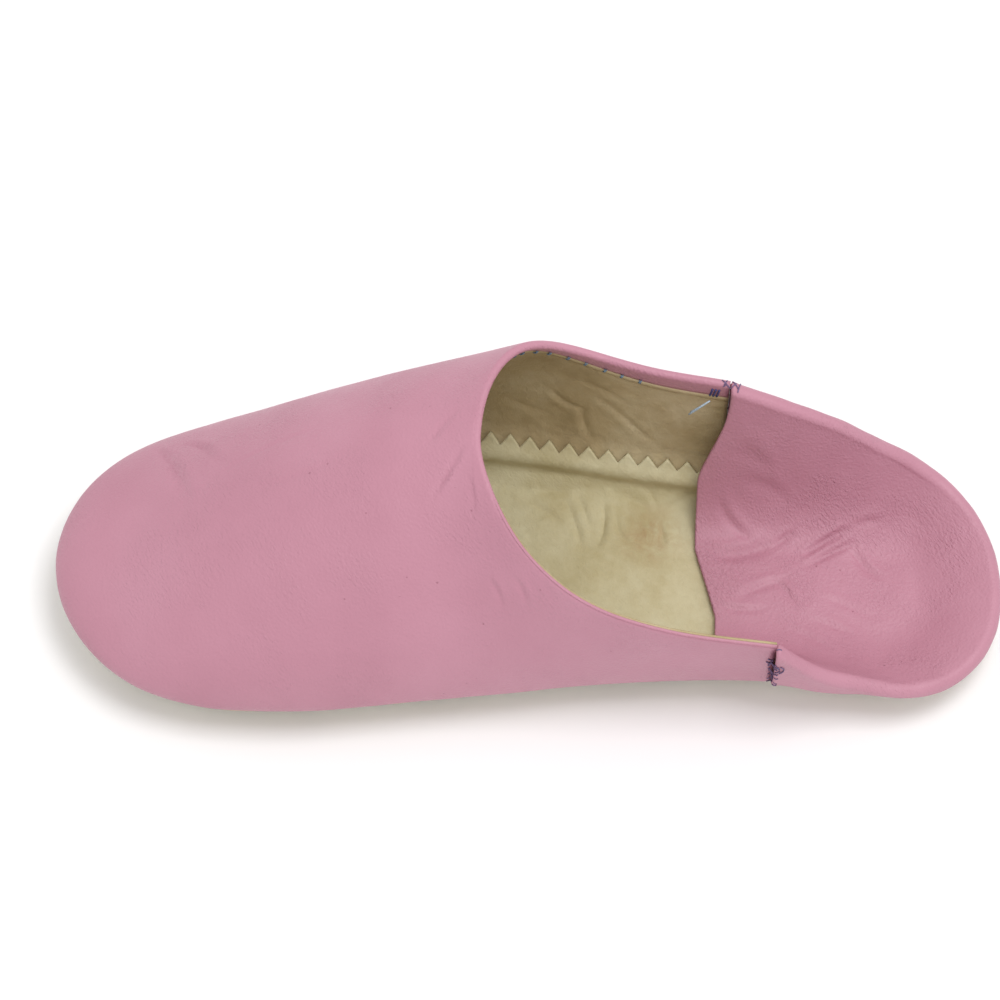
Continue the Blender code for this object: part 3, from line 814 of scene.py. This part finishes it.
# Creases of the insole, in plan
INSOLE_CREASES = creases(
    (139.0, -31.0, 106.0, -30.0, -1.0, 0.76, 1.4),
    (106.0, -30.0, 93.0, -24.0, 0.6, 0.59, 1.0),
    (96.0, -32.0, 92.0, -24.0, 0.4, 0.42, 0.8),
    (90.0, -25.0, 81.0, -29.0, 0.4, 0.59, 1.0),
    (107.3, -27.0, 108.8, -11.0, 1.4, 0.68, 1.0),
    (104.0, -24.0, 99.0, -12.0, -1.4, 0.34, 0.9),
    (118.0, -27.0, 113.0, -11.0, 0.8, 0.48, 1.0),
    (115.0, -29.0, 111.0, -18.0, 0.5, 0.37, 0.8),
    (127.0, -25.0, 119.0, -19.0, 0.6, 0.34, 0.9),
    (98.0, -18.0, 90.0, -15.0, 0.8, 0.37, 0.8),
    (92.0, -20.0, 90.0, -13.0, 0.6, 0.51, 0.8),
    (86.0, -12.0, 78.0, -6.0, 0.4, 0.34, 0.9),
)


def make_insole():
    body = bmesh.new()
    for side in SEAM_AT:
        points = insole_grid(side)
        x, y = points[..., 0] + CENTRE_X, points[..., 1] + CENTRE_Y
        points[..., 2] += INSOLE_WAVE_LIFT + unevenness(x, y, INSOLE_WAVES)
        points[..., 2] += crease_relief(INSOLE_CREASES, x, y)
        add_grid(body, points, side == LATERAL)
    piece = finish_piece("insole_leather", body, cream_insole(), INSOLE_THICKNESS)
    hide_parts("insole")


# Heel quarter
def fold_centre(at, side):
    """Height of the middle of the rolled fold."""
    level_at = SEAM_AT[side] - (GAP + FOLD_LEVEL) / SHOE_LENGTH
    way = min(at / level_at, 1.0)
    low = GAP + HEEL_WALL_RISE
    full = QUARTER_HEIGHT[side] - FOLD_RADIUS - SEAM_HEIGHT - low
    return seam_height(at) + low + full * column(FOLDS, SIDE_NAME[side], way)


def quarter_profile(at, side, length):
    """Outer wall, fold and flap as (out from the seam, height, share of the slide), and the floor."""
    base = seam_height(at) + GAP
    centre = fold_centre(at, side)
    bulge = FOLD_BULGE * column(FOLDS, SIDE_NAME[side] + "_bulge", at / SEAM_AT[side])
    inset = SOLE_THICKNESS + QUARTER_WALL + 2 * GAP
    profile = [(0.0, seam_height(at), 0.0)]
    for share in np.linspace(0.0, 1.0, QUARTER_WALL_COLUMNS) ** 1.2:
        height = base + EDGE_BAND + (centre - base - EDGE_BAND) * share
        profile.append((wall_out(at, side, height) + bulge * float(smooth(2 * share)), height, 0.0))
    top = profile[-1][0]
    low = 1.0 - float(smooth((centre - base) / LOW_FOLD))
    turn = math.pi - (math.pi - LOW_FOLD_TURN) * low
    for angle in np.linspace(0.0, turn, FOLD_COLUMNS + 1)[1:]:
        out = top - FOLD_RADIUS * (1.0 - math.cos(angle))
        profile.append((out, centre + FOLD_RADIUS * math.sin(angle), 0.0))
    start = np.array(profile[-1][:2])
    floor = bottom_height(at) + SOLE_THICKNESS + INSOLE_THICKNESS + QUARTER_WALL + 3 * GAP
    run = length + start[0]
    steep = np.array((min(start[0], -inset), floor + FLAP_FOOT + (centre - floor) * FLAP_SPREAD))
    level = start + np.array((-math.sin(turn), math.cos(turn))) * run * LOW_FLAP_LEAD
    bend_at = FLAP_BEND_AT + (LOW_FLAP_BEND_AT - FLAP_BEND_AT) * low
    controls = (
        start,
        steep + (level - steep) * low,
        (start[0] - run * bend_at, floor),
        (start[0] - run * FLAP_FLAT_AT, floor),
    )
    slide_from, slide_to = FLAP_SLIDE[side]
    for way in np.linspace(0.0, 1.0, FLAP_COLUMNS)[1:]:
        out, height = bezier(controls, way)
        slide = float(smooth((way - slide_from) / (slide_to - slide_from)))
        profile.append((out, height, slide))
    return profile, floor


def quarter_grid(side):
    """Grid on the quarter's outer face: rows round the heel, columns up the wall and down the flap."""
    end = SEAM_AT[side]
    beside = list(np.linspace(HEEL_CENTRE_AT, end, QUARTER_STATIONS + 1))
    grid, run = [], []
    for at in heel_stations(HEEL_STATIONS)[:-1] + beside:
        line = spoke(at, side)
        forward = max((at - HEEL_CENTRE_AT) / (end - HEEL_CENTRE_AT), 0.0)
        foot_at = HEEL_CENTRE_AT + (FLAP_EDGE_AT[side] - HEEL_CENTRE_AT) * forward
        spine_at = HEEL_CENTRE_AT + (sum(FLAP_EDGE_AT.values()) / 2 - HEEL_CENTRE_AT) * forward
        slide = np.array((foot_at * SHOE_LENGTH, middle(foot_at))) - line.foot
        profile, floor = quarter_profile(at, side, line.length)
        row = []
        for out, height, way in profile:
            x, y = along_spoke(line, out) + slide * way
            rise = bottom_height(x / SHOE_LENGTH) - bottom_height(at)
            row.append(place(x, y, height + rise * way))
        spine_floor = floor + bottom_height(spine_at) - bottom_height(at)
        spine = place(spine_at * SHOE_LENGTH, middle(spine_at), spine_floor)
        last = row[-1]
        for way in np.linspace(0.0, 1.0, SPINE_COLUMNS + 1)[1:]:
            row.append(last * (1 - way) + spine * way)
        grid.append(row)
        run.append([at * SHOE_LENGTH] * len(row))
    return np.array(grid), np.array(run)


# Creases of the flap, in plan
FLAP_CREASES = creases(
    (52.3, -10.4, 39.0, -18.2, 0.6, 0.9, 0.9),
    (51.8, -6.8, 37.0, -14.8, 0.6, 0.76, 0.9),
    (39.0, -18.2, 30.0, -20.0, 0.4, 0.36, 0.9),
    (76.6, -9.5, 60.0, -14.0, -1.0, 0.9, 1.8),
    (60.8, -12.5, 54.0, -17.0, 0.4, 0.63, 0.9),
    (76.0, -23.5, 65.5, -14.5, -1.0, 0.47, 1.2),
    (38.7, -13.2, 31.0, -4.0, -0.8, 0.54, 1.2),
    (70.0, 3.0, 55.6, -3.5, 0.6, 0.5, 1.2),
    (74.5, 6.0, 62.0, 6.0, -0.6, 0.43, 1.0),
    (60.0, -3.0, 54.0, 5.0, 0.5, 0.4, 1.0),
    (73.0, -29.0, 61.0, -27.0, 0.6, 0.36, 1.0),
    (70.0, -26.0, 56.0, -23.0, 0.6, 0.32, 1.0),
    (50.0, 9.0, 38.0, 14.0, 0.6, 0.29, 1.0),
    (56.0, 12.0, 44.0, 19.0, 0.6, 0.29, 1.0),
    (48.0, 2.0, 33.0, 8.0, 0.6, 0.25, 1.0),
)


def quarter_relief(points, run, side):
    """Creases and waves of the flap, and the grooves at the sole seam and the side seam."""
    x, y = points[..., 0] + CENTRE_X, points[..., 1] + CENTRE_Y
    past_wall = np.arange(points.shape[1]) - QUARTER_WALL_COLUMNS
    flap = crease_relief(FLAP_CREASES, x, y) + unevenness(x, y, FLAP_WAVES)
    heights = flap * smooth(past_wall / FOLD_COLUMNS) + unevenness(x, y, QUARTER_WAVES)
    seam = np.array([[seam_height(at)] for at in run[:, 0] / SHOE_LENGTH])
    sole_seam = sole_seam_relief(points[..., 2] - seam, run)
    side_seam = side_seam_relief(run - SEAM_AT[side] * SHOE_LENGTH)
    heights += sole_seam * (1.0 - smooth(past_wall / WALL_FADE_COLUMNS))
    return heights + side_seam * (1.0 - smooth(past_wall / (2 * FOLD_COLUMNS)))


def make_heel_quarter():
    body = bmesh.new()
    grids = {side: quarter_grid(side) for side in SEAM_AT}
    skins = {}
    for side, (points, run) in grids.items():
        normals = normals_beside(points, grids[-side][0], side, False)
        heights = quarter_relief(points, run, side)
        skins[side] = points + normals * heights[..., None]
    behind = (skins[MEDIAL][0] + skins[LATERAL][0]) / 2
    for side, skin in skins.items():
        skin[0] = behind
        add_grid(body, skin, side == LATERAL)
    piece = finish_piece("heel_quarter_leather", body, flap_leather(), QUARTER_WALL)
    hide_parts("heel_quarter")
    return piece


# Threads
def add_thread(body, points, radius, sides=7):
    """A thread along points, as a closed tube."""
    if len(points) < 3:
        return
    points = [Vector(point) for point in points]
    rings = []
    for k, point in enumerate(points):
        ahead = (points[min(k + 1, len(points) - 1)] - points[max(k - 1, 0)]).normalized()
        turn = ahead.to_track_quat("Z", "Y")
        ring = []
        for step in range(sides):
            angle = 2 * math.pi * step / sides
            offset = turn @ Vector((math.cos(angle), math.sin(angle), 0.0))
            ring.append(body.verts.new(point + offset * radius))
        rings.append(ring)
    for ring, following in zip(rings, rings[1:]):
        for k in range(sides):
            after = (k + 1) % sides
            body.faces.new((ring[k], ring[after], following[after], following[k]))
    body.faces.new(rings[0][::-1])
    body.faces.new(rings[-1])


def seam_line(side):
    """Places along the sole seam on one side, from the back of the heel to the toe, a stitch apart."""
    stations = round_stations(SIDE_STATIONS)
    rims = np.array([spoke(at, side).rim for at in stations])
    lengths = np.concatenate(([0.0], np.cumsum(np.linalg.norm(np.diff(rims, axis=0), axis=1))))
    return np.interp(np.arange(STITCH_PITCH / 2, lengths[-1], STITCH_PITCH), lengths, stations)


def make_sole_stitches():
    """Whip stitches over the seam between sole and upper, leaning a little towards the toe."""
    body = bmesh.new()
    for side in SEAM_AT:
        for at in seam_line(side):
            line = spoke(at, side)
            out = out_way(line)
            tangent = np.array((-out[1], out[0])) * -side
            seam = seam_height(at)
            points = []
            for way in np.linspace(-1.0, 1.0, 9):
                x, y = line.rim + out * (STITCH_OUT - STITCH_DIP * way**2) + tangent * STITCH_LEAN * way
                points.append(place(x, y, seam + STITCH_REACH * way))
            add_thread(body, points, THREAD_RADIUS)
    material = thread("brown_thread", (0.03, 0.015, 0.012), (0.12, 0.06, 0.04))
    finish_piece("sole_stitches", body, material)


def surface_of(pieces):
    """The pieces' outer faces in one tree, to lay threads on."""
    points, faces = [], []
    for piece in pieces:
        first = len(points)
        points += [vertex.co.copy() for vertex in piece.data.vertices]
        faces += [[first + k for k in polygon.vertices] for polygon in piece.data.polygons]
    return BVHTree.FromPolygons(points, faces)


# Places beside and above the slipper that threads are laid from, and the directions
BESIDE = 0.06
ABOVE = 0.055
RAY_START = 0.03
OUT_TO_LATERAL = (0, -1, 0)
DOWN = (0, 0, -1)


def laid(surface, points, direction, lift):
    """Points moved along a direction on to a surface and lifted off it, without those that miss its top."""
    direction = Vector(direction)
    hits = [surface.ray_cast(Vector(point) - direction * RAY_START, direction)[0] for point in points]
    hits = [hit for hit in hits if hit is not None]
    nearest = min(hit.dot(direction) for hit in hits)
    return [hit - direction * lift for hit in hits if hit.dot(direction) < nearest + THREAD_DROP]


def between(points, count):
    """A line of points filled in evenly between its corners."""
    points = np.array(points, float)
    ways = np.linspace(0.0, len(points) - 1, count)
    return np.stack([np.interp(ways, range(len(points)), axis) for axis in points.T], axis=-1)


# Stitches that close the side seams' tops. The medial ones are places along the shoe and heights on the
# outer face; the lateral ones are places in plan, on top of the collar.
MEDIAL_KNOT = (
    ((0.0632, 0.0355), (0.0617, 0.0332)),
    ((0.0625, 0.0325), (0.0604, 0.0358)),
    ((0.0608, 0.0339), (0.0630, 0.0311)),
    ((0.0624, 0.0297), (0.0600, 0.0334)),
    ((0.0635, 0.0337), (0.0611, 0.0301)),
    ((0.0599, 0.0359), (0.0589, 0.0344), (0.0592, 0.0326), (0.0601, 0.0317)),
    ((0.0604, 0.0309), (0.0628, 0.0285)),
    ((0.0614, 0.0362), (0.0601, 0.0344)),
    ((0.0620, 0.0344), (0.0621, 0.0319)),
)
LATERAL_KNOT = (
    ((0.0775, -0.0352), (0.0752, -0.0385)),
    ((0.0788, -0.0362), (0.0755, -0.0372)),
    ((0.0766, -0.0386), (0.0742, -0.0362)),
    ((0.0752, -0.0350), (0.0728, -0.0378)),
    ((0.0738, -0.0388), (0.0722, -0.0360)),
    ((0.0724, -0.0352), (0.0716, -0.0384)),
)

# The medial knot's last thread, in plan, laid on the collar from a height
KNOT_TAIL = ((0.0672, 0.0352), (0.0600, 0.0352))
KNOT_TAIL_FROM = 0.044


def make_seam_stitches(surface):
    """Dark stitches over both side seams: bars up the seam, and a bunch that closes its top."""
    body = bmesh.new()
    for side in SEAM_AT:
        seam_x = SEAM_AT[side] * SHOE_LENGTH
        top = QUARTER_HEIGHT[side] - SIDE_STITCHES_BELOW_TOP
        for k, height in enumerate(np.arange(SIDE_STITCHES_FROM, top, SIDE_STITCH_PITCH)):
            reach, lean = SIDE_STITCH_REACH, STITCH_LEAN * (-1) ** k
            bar = between(((seam_x + reach, height + lean), (seam_x - reach, height - lean)), 7)
            points = [place(x, side * BESIDE, z) for x, z in bar]
            add_thread(body, laid(surface, points, (0, -side, 0), THREAD_LIFT / 2), FINE_THREAD_RADIUS)
    for line in MEDIAL_KNOT:
        points = [place(x, BESIDE, z) for x, z in between(line, 9)]
        add_thread(body, laid(surface, points, OUT_TO_LATERAL, THREAD_LIFT), FINE_THREAD_RADIUS)
    for line in LATERAL_KNOT:
        points = [place(x, y, ABOVE) for x, y in between(line, 9)]
        add_thread(body, laid(surface, points, DOWN, THREAD_LIFT), FINE_THREAD_RADIUS)
    tail = [place(x, y, KNOT_TAIL_FROM) for x, y in between(KNOT_TAIL, 12)]
    add_thread(body, laid(surface, tail, DOWN, THREAD_LIFT / 2), THREAD_RADIUS * 0.7)
    material = thread("purple_thread", (0.07, 0.04, 0.10), (0.24, 0.16, 0.30))
    finish_piece("seam_stitches", body, material)


# Blue whip stitches along the lateral collar, at places along the shoe. Each is two threads that cross.
WHIP_STITCHES = (0.1325, 0.1300, 0.1267, 0.1227, 0.1182, 0.1131, 0.1083, 0.1032, 0.0985)
WHIP_REACH = 0.0008
WHIP_LEAN = 0.0003
WHIP_OFF = 0.0006
WHIP_DIP = 0.0004


def make_blue_threads(edges, strip):
    """Blue whip stitches that hold the collar's turned-in edge on the lateral side."""
    body = bmesh.new()
    _, normals, away = collar_frame(edges)
    lateral = slice(COLLAR_STATIONS + 1, None)
    x = strip[lateral, -1, 0] + CENTRE_X
    for at_x in WHIP_STITCHES:
        k = COLLAR_STATIONS + 1 + int(np.abs(x - at_x).argmin())
        edge, inside, up = strip[k, -1], -normals[k], away[k]
        aside = np.cross(up, inside)
        for lean in (-WHIP_LEAN, WHIP_LEAN):
            points = []
            for way in np.linspace(-1.0, 1.0, 7):
                off = inside * (WHIP_OFF - WHIP_DIP * way**2)
                points.append(edge + off + (up * WHIP_REACH + aside * lean) * way)
            add_thread(body, points, FINE_THREAD_RADIUS)
    material = thread("blue_thread", (0.06, 0.10, 0.16), (0.22, 0.32, 0.42))
    finish_piece("collar_stitches", body, material)


# Wraps round the lateral collar, at places along the shoe, and the two strands of the loose end below them
WRAPS = (0.0772, 0.0781, 0.0790)
WRAP_TOP = 0.0505
WRAP_FOOT = 0.0455
WRAP_LEAN = 0.0008
WRAP_Y = -0.01
LOOSE_START = (0.0796, -0.0350, 0.0480)
LOOSE_ENDS = ((0.0850, -0.0335, 0.0430), (0.0846, -0.0338, 0.0436))
LOOSE_HUMP = (0.0, 0.0006, 0.0010)


def make_loose_end(surface):
    """Wraps round the lateral collar beside the seam, and a pale thread's end that hangs from them."""
    wraps = bmesh.new()
    for x in WRAPS:
        line = between(((x, WRAP_TOP), (x + WRAP_LEAN, WRAP_FOOT)), 9)
        points = [place(along, WRAP_Y, z) for along, z in line]
        add_thread(wraps, laid(surface, points, OUT_TO_LATERAL, THREAD_LIFT), THREAD_RADIUS)
    navy = thread("navy_thread", (0.02, 0.02, 0.10), (0.08, 0.09, 0.28))
    finish_piece("collar_wraps", wraps, navy)
    body = bmesh.new()
    start = np.array(LOOSE_START)
    for end in LOOSE_ENDS:
        hump = (start + end) / 2 + LOOSE_HUMP
        points = [place(*point) for point in bezier((start, hump, hump, end), np.linspace(0, 1, 12))]
        add_thread(body, points, THREAD_RADIUS * 0.9)
    pale = thread("pale_thread", (0.26, 0.34, 0.42), (0.46, 0.55, 0.62))
    finish_piece("loose_thread", body, pale)


# Materials
# Most of a noise lies in this range
NOISE_LOW = 0.3
NOISE_HIGH = 0.7

# The Mix node's colour sockets, whose names its other sockets have too
MIX_FIRST = 6
MIX_SECOND = 7
MIX_RESULT = 2


class Shader:
    """A Principled material with short ways to add texture nodes and join them."""

    def __init__(self, name):
        self.material = bpy.data.materials.new(name)
        self.material.use_nodes = True
        self.tree = self.material.node_tree
        self.base = self.tree.nodes["Principled BSDF"]
        self.place = self.tree.nodes.new("ShaderNodeTexCoord").outputs["Object"]

    def fill(self, node, inputs):
        """Give a node's inputs numbers, or links from other nodes' outputs."""
        for name, value in inputs.items():
            if isinstance(value, bpy.types.NodeSocket):
                self.tree.links.new(value, node.inputs[name])
            else:
                node.inputs[name].default_value = value

    def add(self, kind, inputs, **settings):
        """The outputs of a new node."""
        node = self.tree.nodes.new("ShaderNode" + kind)
        for name, value in settings.items():
            setattr(node, name, value)
        self.fill(node, inputs)
        return node.outputs

    def set(self, **inputs):
        self.fill(self.base, {name.replace("_", " "): value for name, value in inputs.items()})

    def stretch(self, scale, turn):
        """Object coordinates turned about the vertical and stretched by a factor along each axis."""
        inputs = {"Vector": self.place, "Rotation": (0.0, 0.0, turn), "Scale": scale}
        return self.add("Mapping", inputs, vector_type="TEXTURE")["Vector"]

    def noise(self, size, detail=3.0, rough=0.5, kind="FBM", vector=None, warp=0.0):
        inputs = {"Scale": 1.0 / size, "Detail": detail, "Roughness": rough, "Distortion": warp}
        inputs["Vector"] = vector or self.place
        return self.add("TexNoise", inputs, noise_type=kind)["Fac"]

    def cells(self, size, feature="SMOOTH_F1"):
        inputs = {"Scale": 1.0 / size, "Vector": self.place}
        return self.add("TexVoronoi", inputs, feature=feature)["Distance"]

    def range(self, value, low=NOISE_LOW, high=NOISE_HIGH, to_low=0.0, to_high=1.0):
        inputs = {"Value": value, "From Min": low, "From Max": high, "To Min": to_low, "To Max": to_high}
        return self.add("MapRange", inputs)["Result"]

    def ramp(self, noise, colours):
        """Colours spread evenly over a noise."""
        spread = self.add("ValToRGB", {"Fac": self.range(noise)})["Color"]
        elements = spread.node.color_ramp.elements
        while len(elements) < len(colours):
            elements.new(0.5)
        for k, colour in enumerate(colours):
            elements[k].position = k / (len(colours) - 1)
            elements[k].color = (*colour, 1.0)
        return spread

    def times(self, first, second):
        return self.add("Math", {0: first, 1: second}, operation="MULTIPLY")["Value"]

    def near(self, centre, radius):
        """1 at a place, falling softly to 0 at a radius from it."""
        distance = self.add("VectorMath", {0: self.place, 1: centre}, operation="DISTANCE")["Value"]
        return self.range(distance, 0.0, radius, 1.0, 0.0)

    def below(self, low, high):
        """1 below one height, falling to 0 at another."""
        height = self.add("SeparateXYZ", {"Vector": self.place})["Z"]
        return self.range(height, low, high, 1.0, 0.0)

    def tinted(self, colour, share, tint):
        """A colour mixed with a tint by a share."""
        inputs = {"Factor": share, MIX_FIRST: colour, MIX_SECOND: (*tint, 1.0)}
        return self.add("Mix", inputs, data_type="RGBA")[MIX_RESULT]

    def bump(self, layers):
        """Relief from layers of (height, depth in metres), one over the other."""
        inputs = {}
        for height, depth in layers:
            inputs.update({"Height": height, "Distance": depth})
            inputs["Normal"] = self.add("Bump", inputs)["Normal"]
        self.set(Normal=inputs["Normal"])


# Colours of each material, from dark to light
PINKS = ((0.465, 0.207, 0.273), (0.487, 0.220, 0.289), (0.508, 0.235, 0.307))
PORE_PINK = (0.30, 0.09, 0.13)
LINING_CREAMS = ((0.36, 0.27, 0.14), (0.47, 0.37, 0.21), (0.55, 0.46, 0.29))
INSOLE_CREAMS = ((0.45, 0.38, 0.20), (0.56, 0.50, 0.31), (0.62, 0.57, 0.38))
INSOLE_STAIN = ((-0.0329, -0.0144, 0.0055), 0.0120, (0.40, 0.26, 0.13))
SOLE_CREAMS = ((0.40, 0.32, 0.19), (0.56, 0.49, 0.33), (0.64, 0.58, 0.42))
# Darker, browner tint that the sole takes in patches towards the bottom
SOLE_LOW_TINT = (0.30, 0.22, 0.14)


def pink(name, ripple_depth, crease_depth):
    """Smooth dyed leather with fine pebbles, faint ripples in patches, and a few open pores."""
    shader = Shader(name)
    pores = shader.range(shader.cells(0.0065, "F1"), 0.025, 0.045, 1.0, 0.0)
    pore_tint = shader.range(pores, 0.0, 1.0, 0.0, 0.5)
    colour = shader.tinted(shader.ramp(shader.noise(0.030, 4.0), PINKS), pore_tint, PORE_PINK)
    roughness = shader.range(shader.noise(0.012), to_low=0.42, to_high=0.52)
    shader.set(Base_Color=colour, Roughness=roughness, Specular_IOR_Level=0.45)
    patches = shader.range(shader.noise(0.020, 2.0), 0.42, 0.62, 0.15, 1.0)
    ripples = shader.noise(0.0011, 2.5, 0.55, vector=shader.stretch((0.45, 1.6, 1.0), 0.6), warp=0.4)
    wrinkles = shader.noise(0.010, 4.0, 0.55, "RIDGED_MULTIFRACTAL", warp=0.7)
    layers = (
        (shader.times(wrinkles, patches), crease_depth),
        (shader.times(ripples, patches), ripple_depth),
        (shader.cells(0.0007), 0.00012),
        (shader.noise(0.0004, 2.0), 0.00006),
        (pores, -0.0001),
    )
    shader.bump(layers)
    return shader.material


def pink_leather():
    return pink("pink_leather", 0.00028, 0.00010)


def flap_leather():
    return pink("flap_leather", 0.00040, 0.00025)


def cream(name, colours, rough, wrinkle_depth, stain=None):
    """Undyed leather, matt, creased and mottled, with a stain at one place."""
    shader = Shader(name)
    mottle = shader.range(shader.noise(0.0030, 5.0, 0.65), 0.45, 0.75, 0.0, 0.30)
    colour = shader.tinted(shader.ramp(shader.noise(0.022, 6.0, 0.6), colours), mottle, colours[0])
    if stain:
        centre, radius, tint = stain
        streaks = shader.range(shader.noise(0.004, 4.0, 0.6, warp=1.0), 0.4, 0.65, 0.1, 0.8)
        colour = shader.tinted(colour, shader.times(shader.near(centre, radius), streaks), tint)
    roughness = shader.range(shader.noise(0.008), to_low=rough, to_high=rough + 0.12)
    shader.set(Base_Color=colour, Roughness=roughness, Specular_IOR_Level=0.35)
    wrinkles = shader.noise(0.0075, 6.0, 0.62, "RIDGED_MULTIFRACTAL", warp=0.8)
    small = shader.noise(0.0020, 4.0, 0.6, vector=shader.stretch((0.7, 1.4, 1.0), 0.9), warp=0.6)
    shader.bump(((wrinkles, wrinkle_depth), (small, 0.00022), (shader.noise(0.0006, 3.0, 0.6), 0.00007)))
    return shader


def cream_lining():
    return cream("cream_lining", LINING_CREAMS, 0.60, 0.00025).material


def cream_insole():
    return cream("cream_insole", INSOLE_CREAMS, 0.60, 0.00028, INSOLE_STAIN).material


def sole_leather():
    """The same cream leather, with darker, browner patches towards the bottom."""
    shader = cream("sole_leather", SOLE_CREAMS, 0.58, 0.00020)
    untinted = shader.base.inputs["Base Color"].links[0].from_socket
    # Darker, browner patches from noise, strongest near the floor and fading out 6 mm above it
    low_patches = shader.range(shader.noise(0.016, 6.0, 0.65), 0.35, 0.65, 0.25, 0.9)
    shader.set(Base_Color=shader.tinted(untinted, shader.times(low_patches, shader.below(0.0005, 0.0060)), SOLE_LOW_TINT))
    return shader.material


def thread(name, dark, light):
    shader = Shader(name)
    twist = shader.noise(0.0004, 2.0)
    shader.set(Base_Color=shader.ramp(twist, (dark, light)), Roughness=0.7)
    shader.bump(((twist, 0.0001),))
    return shader.material


# Studio: white paper under an even white sky, with one soft light above
FLOOR_SIZE = 4.0
FLOOR_COLOUR = (0.92, 0.92, 0.92, 1.0)
SKY_COLOUR = (1.0, 1.0, 1.0, 1.0)
SKY_STRENGTH = 0.88
LIGHT_PLACE = (-0.3, 0.05, 1.25)
LIGHT_AIM = (0.0, 0.0, 0.03)
LIGHT_SIZE = 0.5
LIGHT_POWER = 7.0


def make_floor():
    body = bmesh.new()
    bmesh.ops.create_grid(body, x_segments=1, y_segments=1, size=FLOOR_SIZE)
    mesh = bpy.data.meshes.new("floor")
    body.to_mesh(mesh)
    body.free()
    floor = bpy.data.objects.new("floor", mesh)
    bpy.context.scene.collection.objects.link(floor)
    shader = Shader("floor_paper")
    roughness = shader.range(shader.noise(0.4, 2.0), to_low=0.80, to_high=0.86)
    shader.set(Base_Color=FLOOR_COLOUR, Roughness=roughness)
    mesh.materials.append(shader.material)


def make_light():
    light = bpy.data.lights.new("key", "AREA")
    light.size = LIGHT_SIZE
    light.energy = LIGHT_POWER
    lamp = bpy.data.objects.new("key", light)
    lamp.location = LIGHT_PLACE
    lamp.rotation_euler = (Vector(LIGHT_AIM) - Vector(LIGHT_PLACE)).to_track_quat("-Z", "Y").to_euler()
    bpy.context.scene.collection.objects.link(lamp)


def make_studio():
    make_floor()
    make_light()
    world = bpy.data.worlds.new("studio")
    world.use_nodes = True
    background = world.node_tree.nodes["Background"]
    background.inputs["Color"].default_value = SKY_COLOUR
    background.inputs["Strength"].default_value = SKY_STRENGTH
    bpy.context.scene.world = world
    bpy.context.scene.view_settings.view_transform = "Standard"


def make_camera():
    """The photographed view: from the medial side and above."""
    azimuth, elevation = math.radians(VIEW_AZIMUTH), math.radians(VIEW_ELEVATION)
    level = math.cos(elevation)
    back = Vector((math.sin(azimuth) * level, -math.cos(azimuth) * level, math.sin(elevation)))
    camera = bpy.data.objects.new("camera", bpy.data.cameras.new("camera"))
    camera.location = Vector(VIEW_TARGET) + back * VIEW_DISTANCE
    camera.rotation_euler = (-back).to_track_quat("-Z", "Y").to_euler()
    camera.data.lens = VIEW_LENS
    camera.data.shift_x, camera.data.shift_y = VIEW_SHIFT
    bpy.context.scene.collection.objects.link(camera)
    bpy.context.scene.camera = camera


upper, collar_edges, edge_strip = make_upper()
make_lining(collar_edges, edge_strip)
make_outsole()
make_insole()
quarter = make_heel_quarter()
make_sole_stitches()
outer_faces = surface_of((upper, quarter))
make_seam_stitches(outer_faces)
make_blue_threads(collar_edges, edge_strip)
make_loose_end(outer_faces)
make_studio()
make_camera()
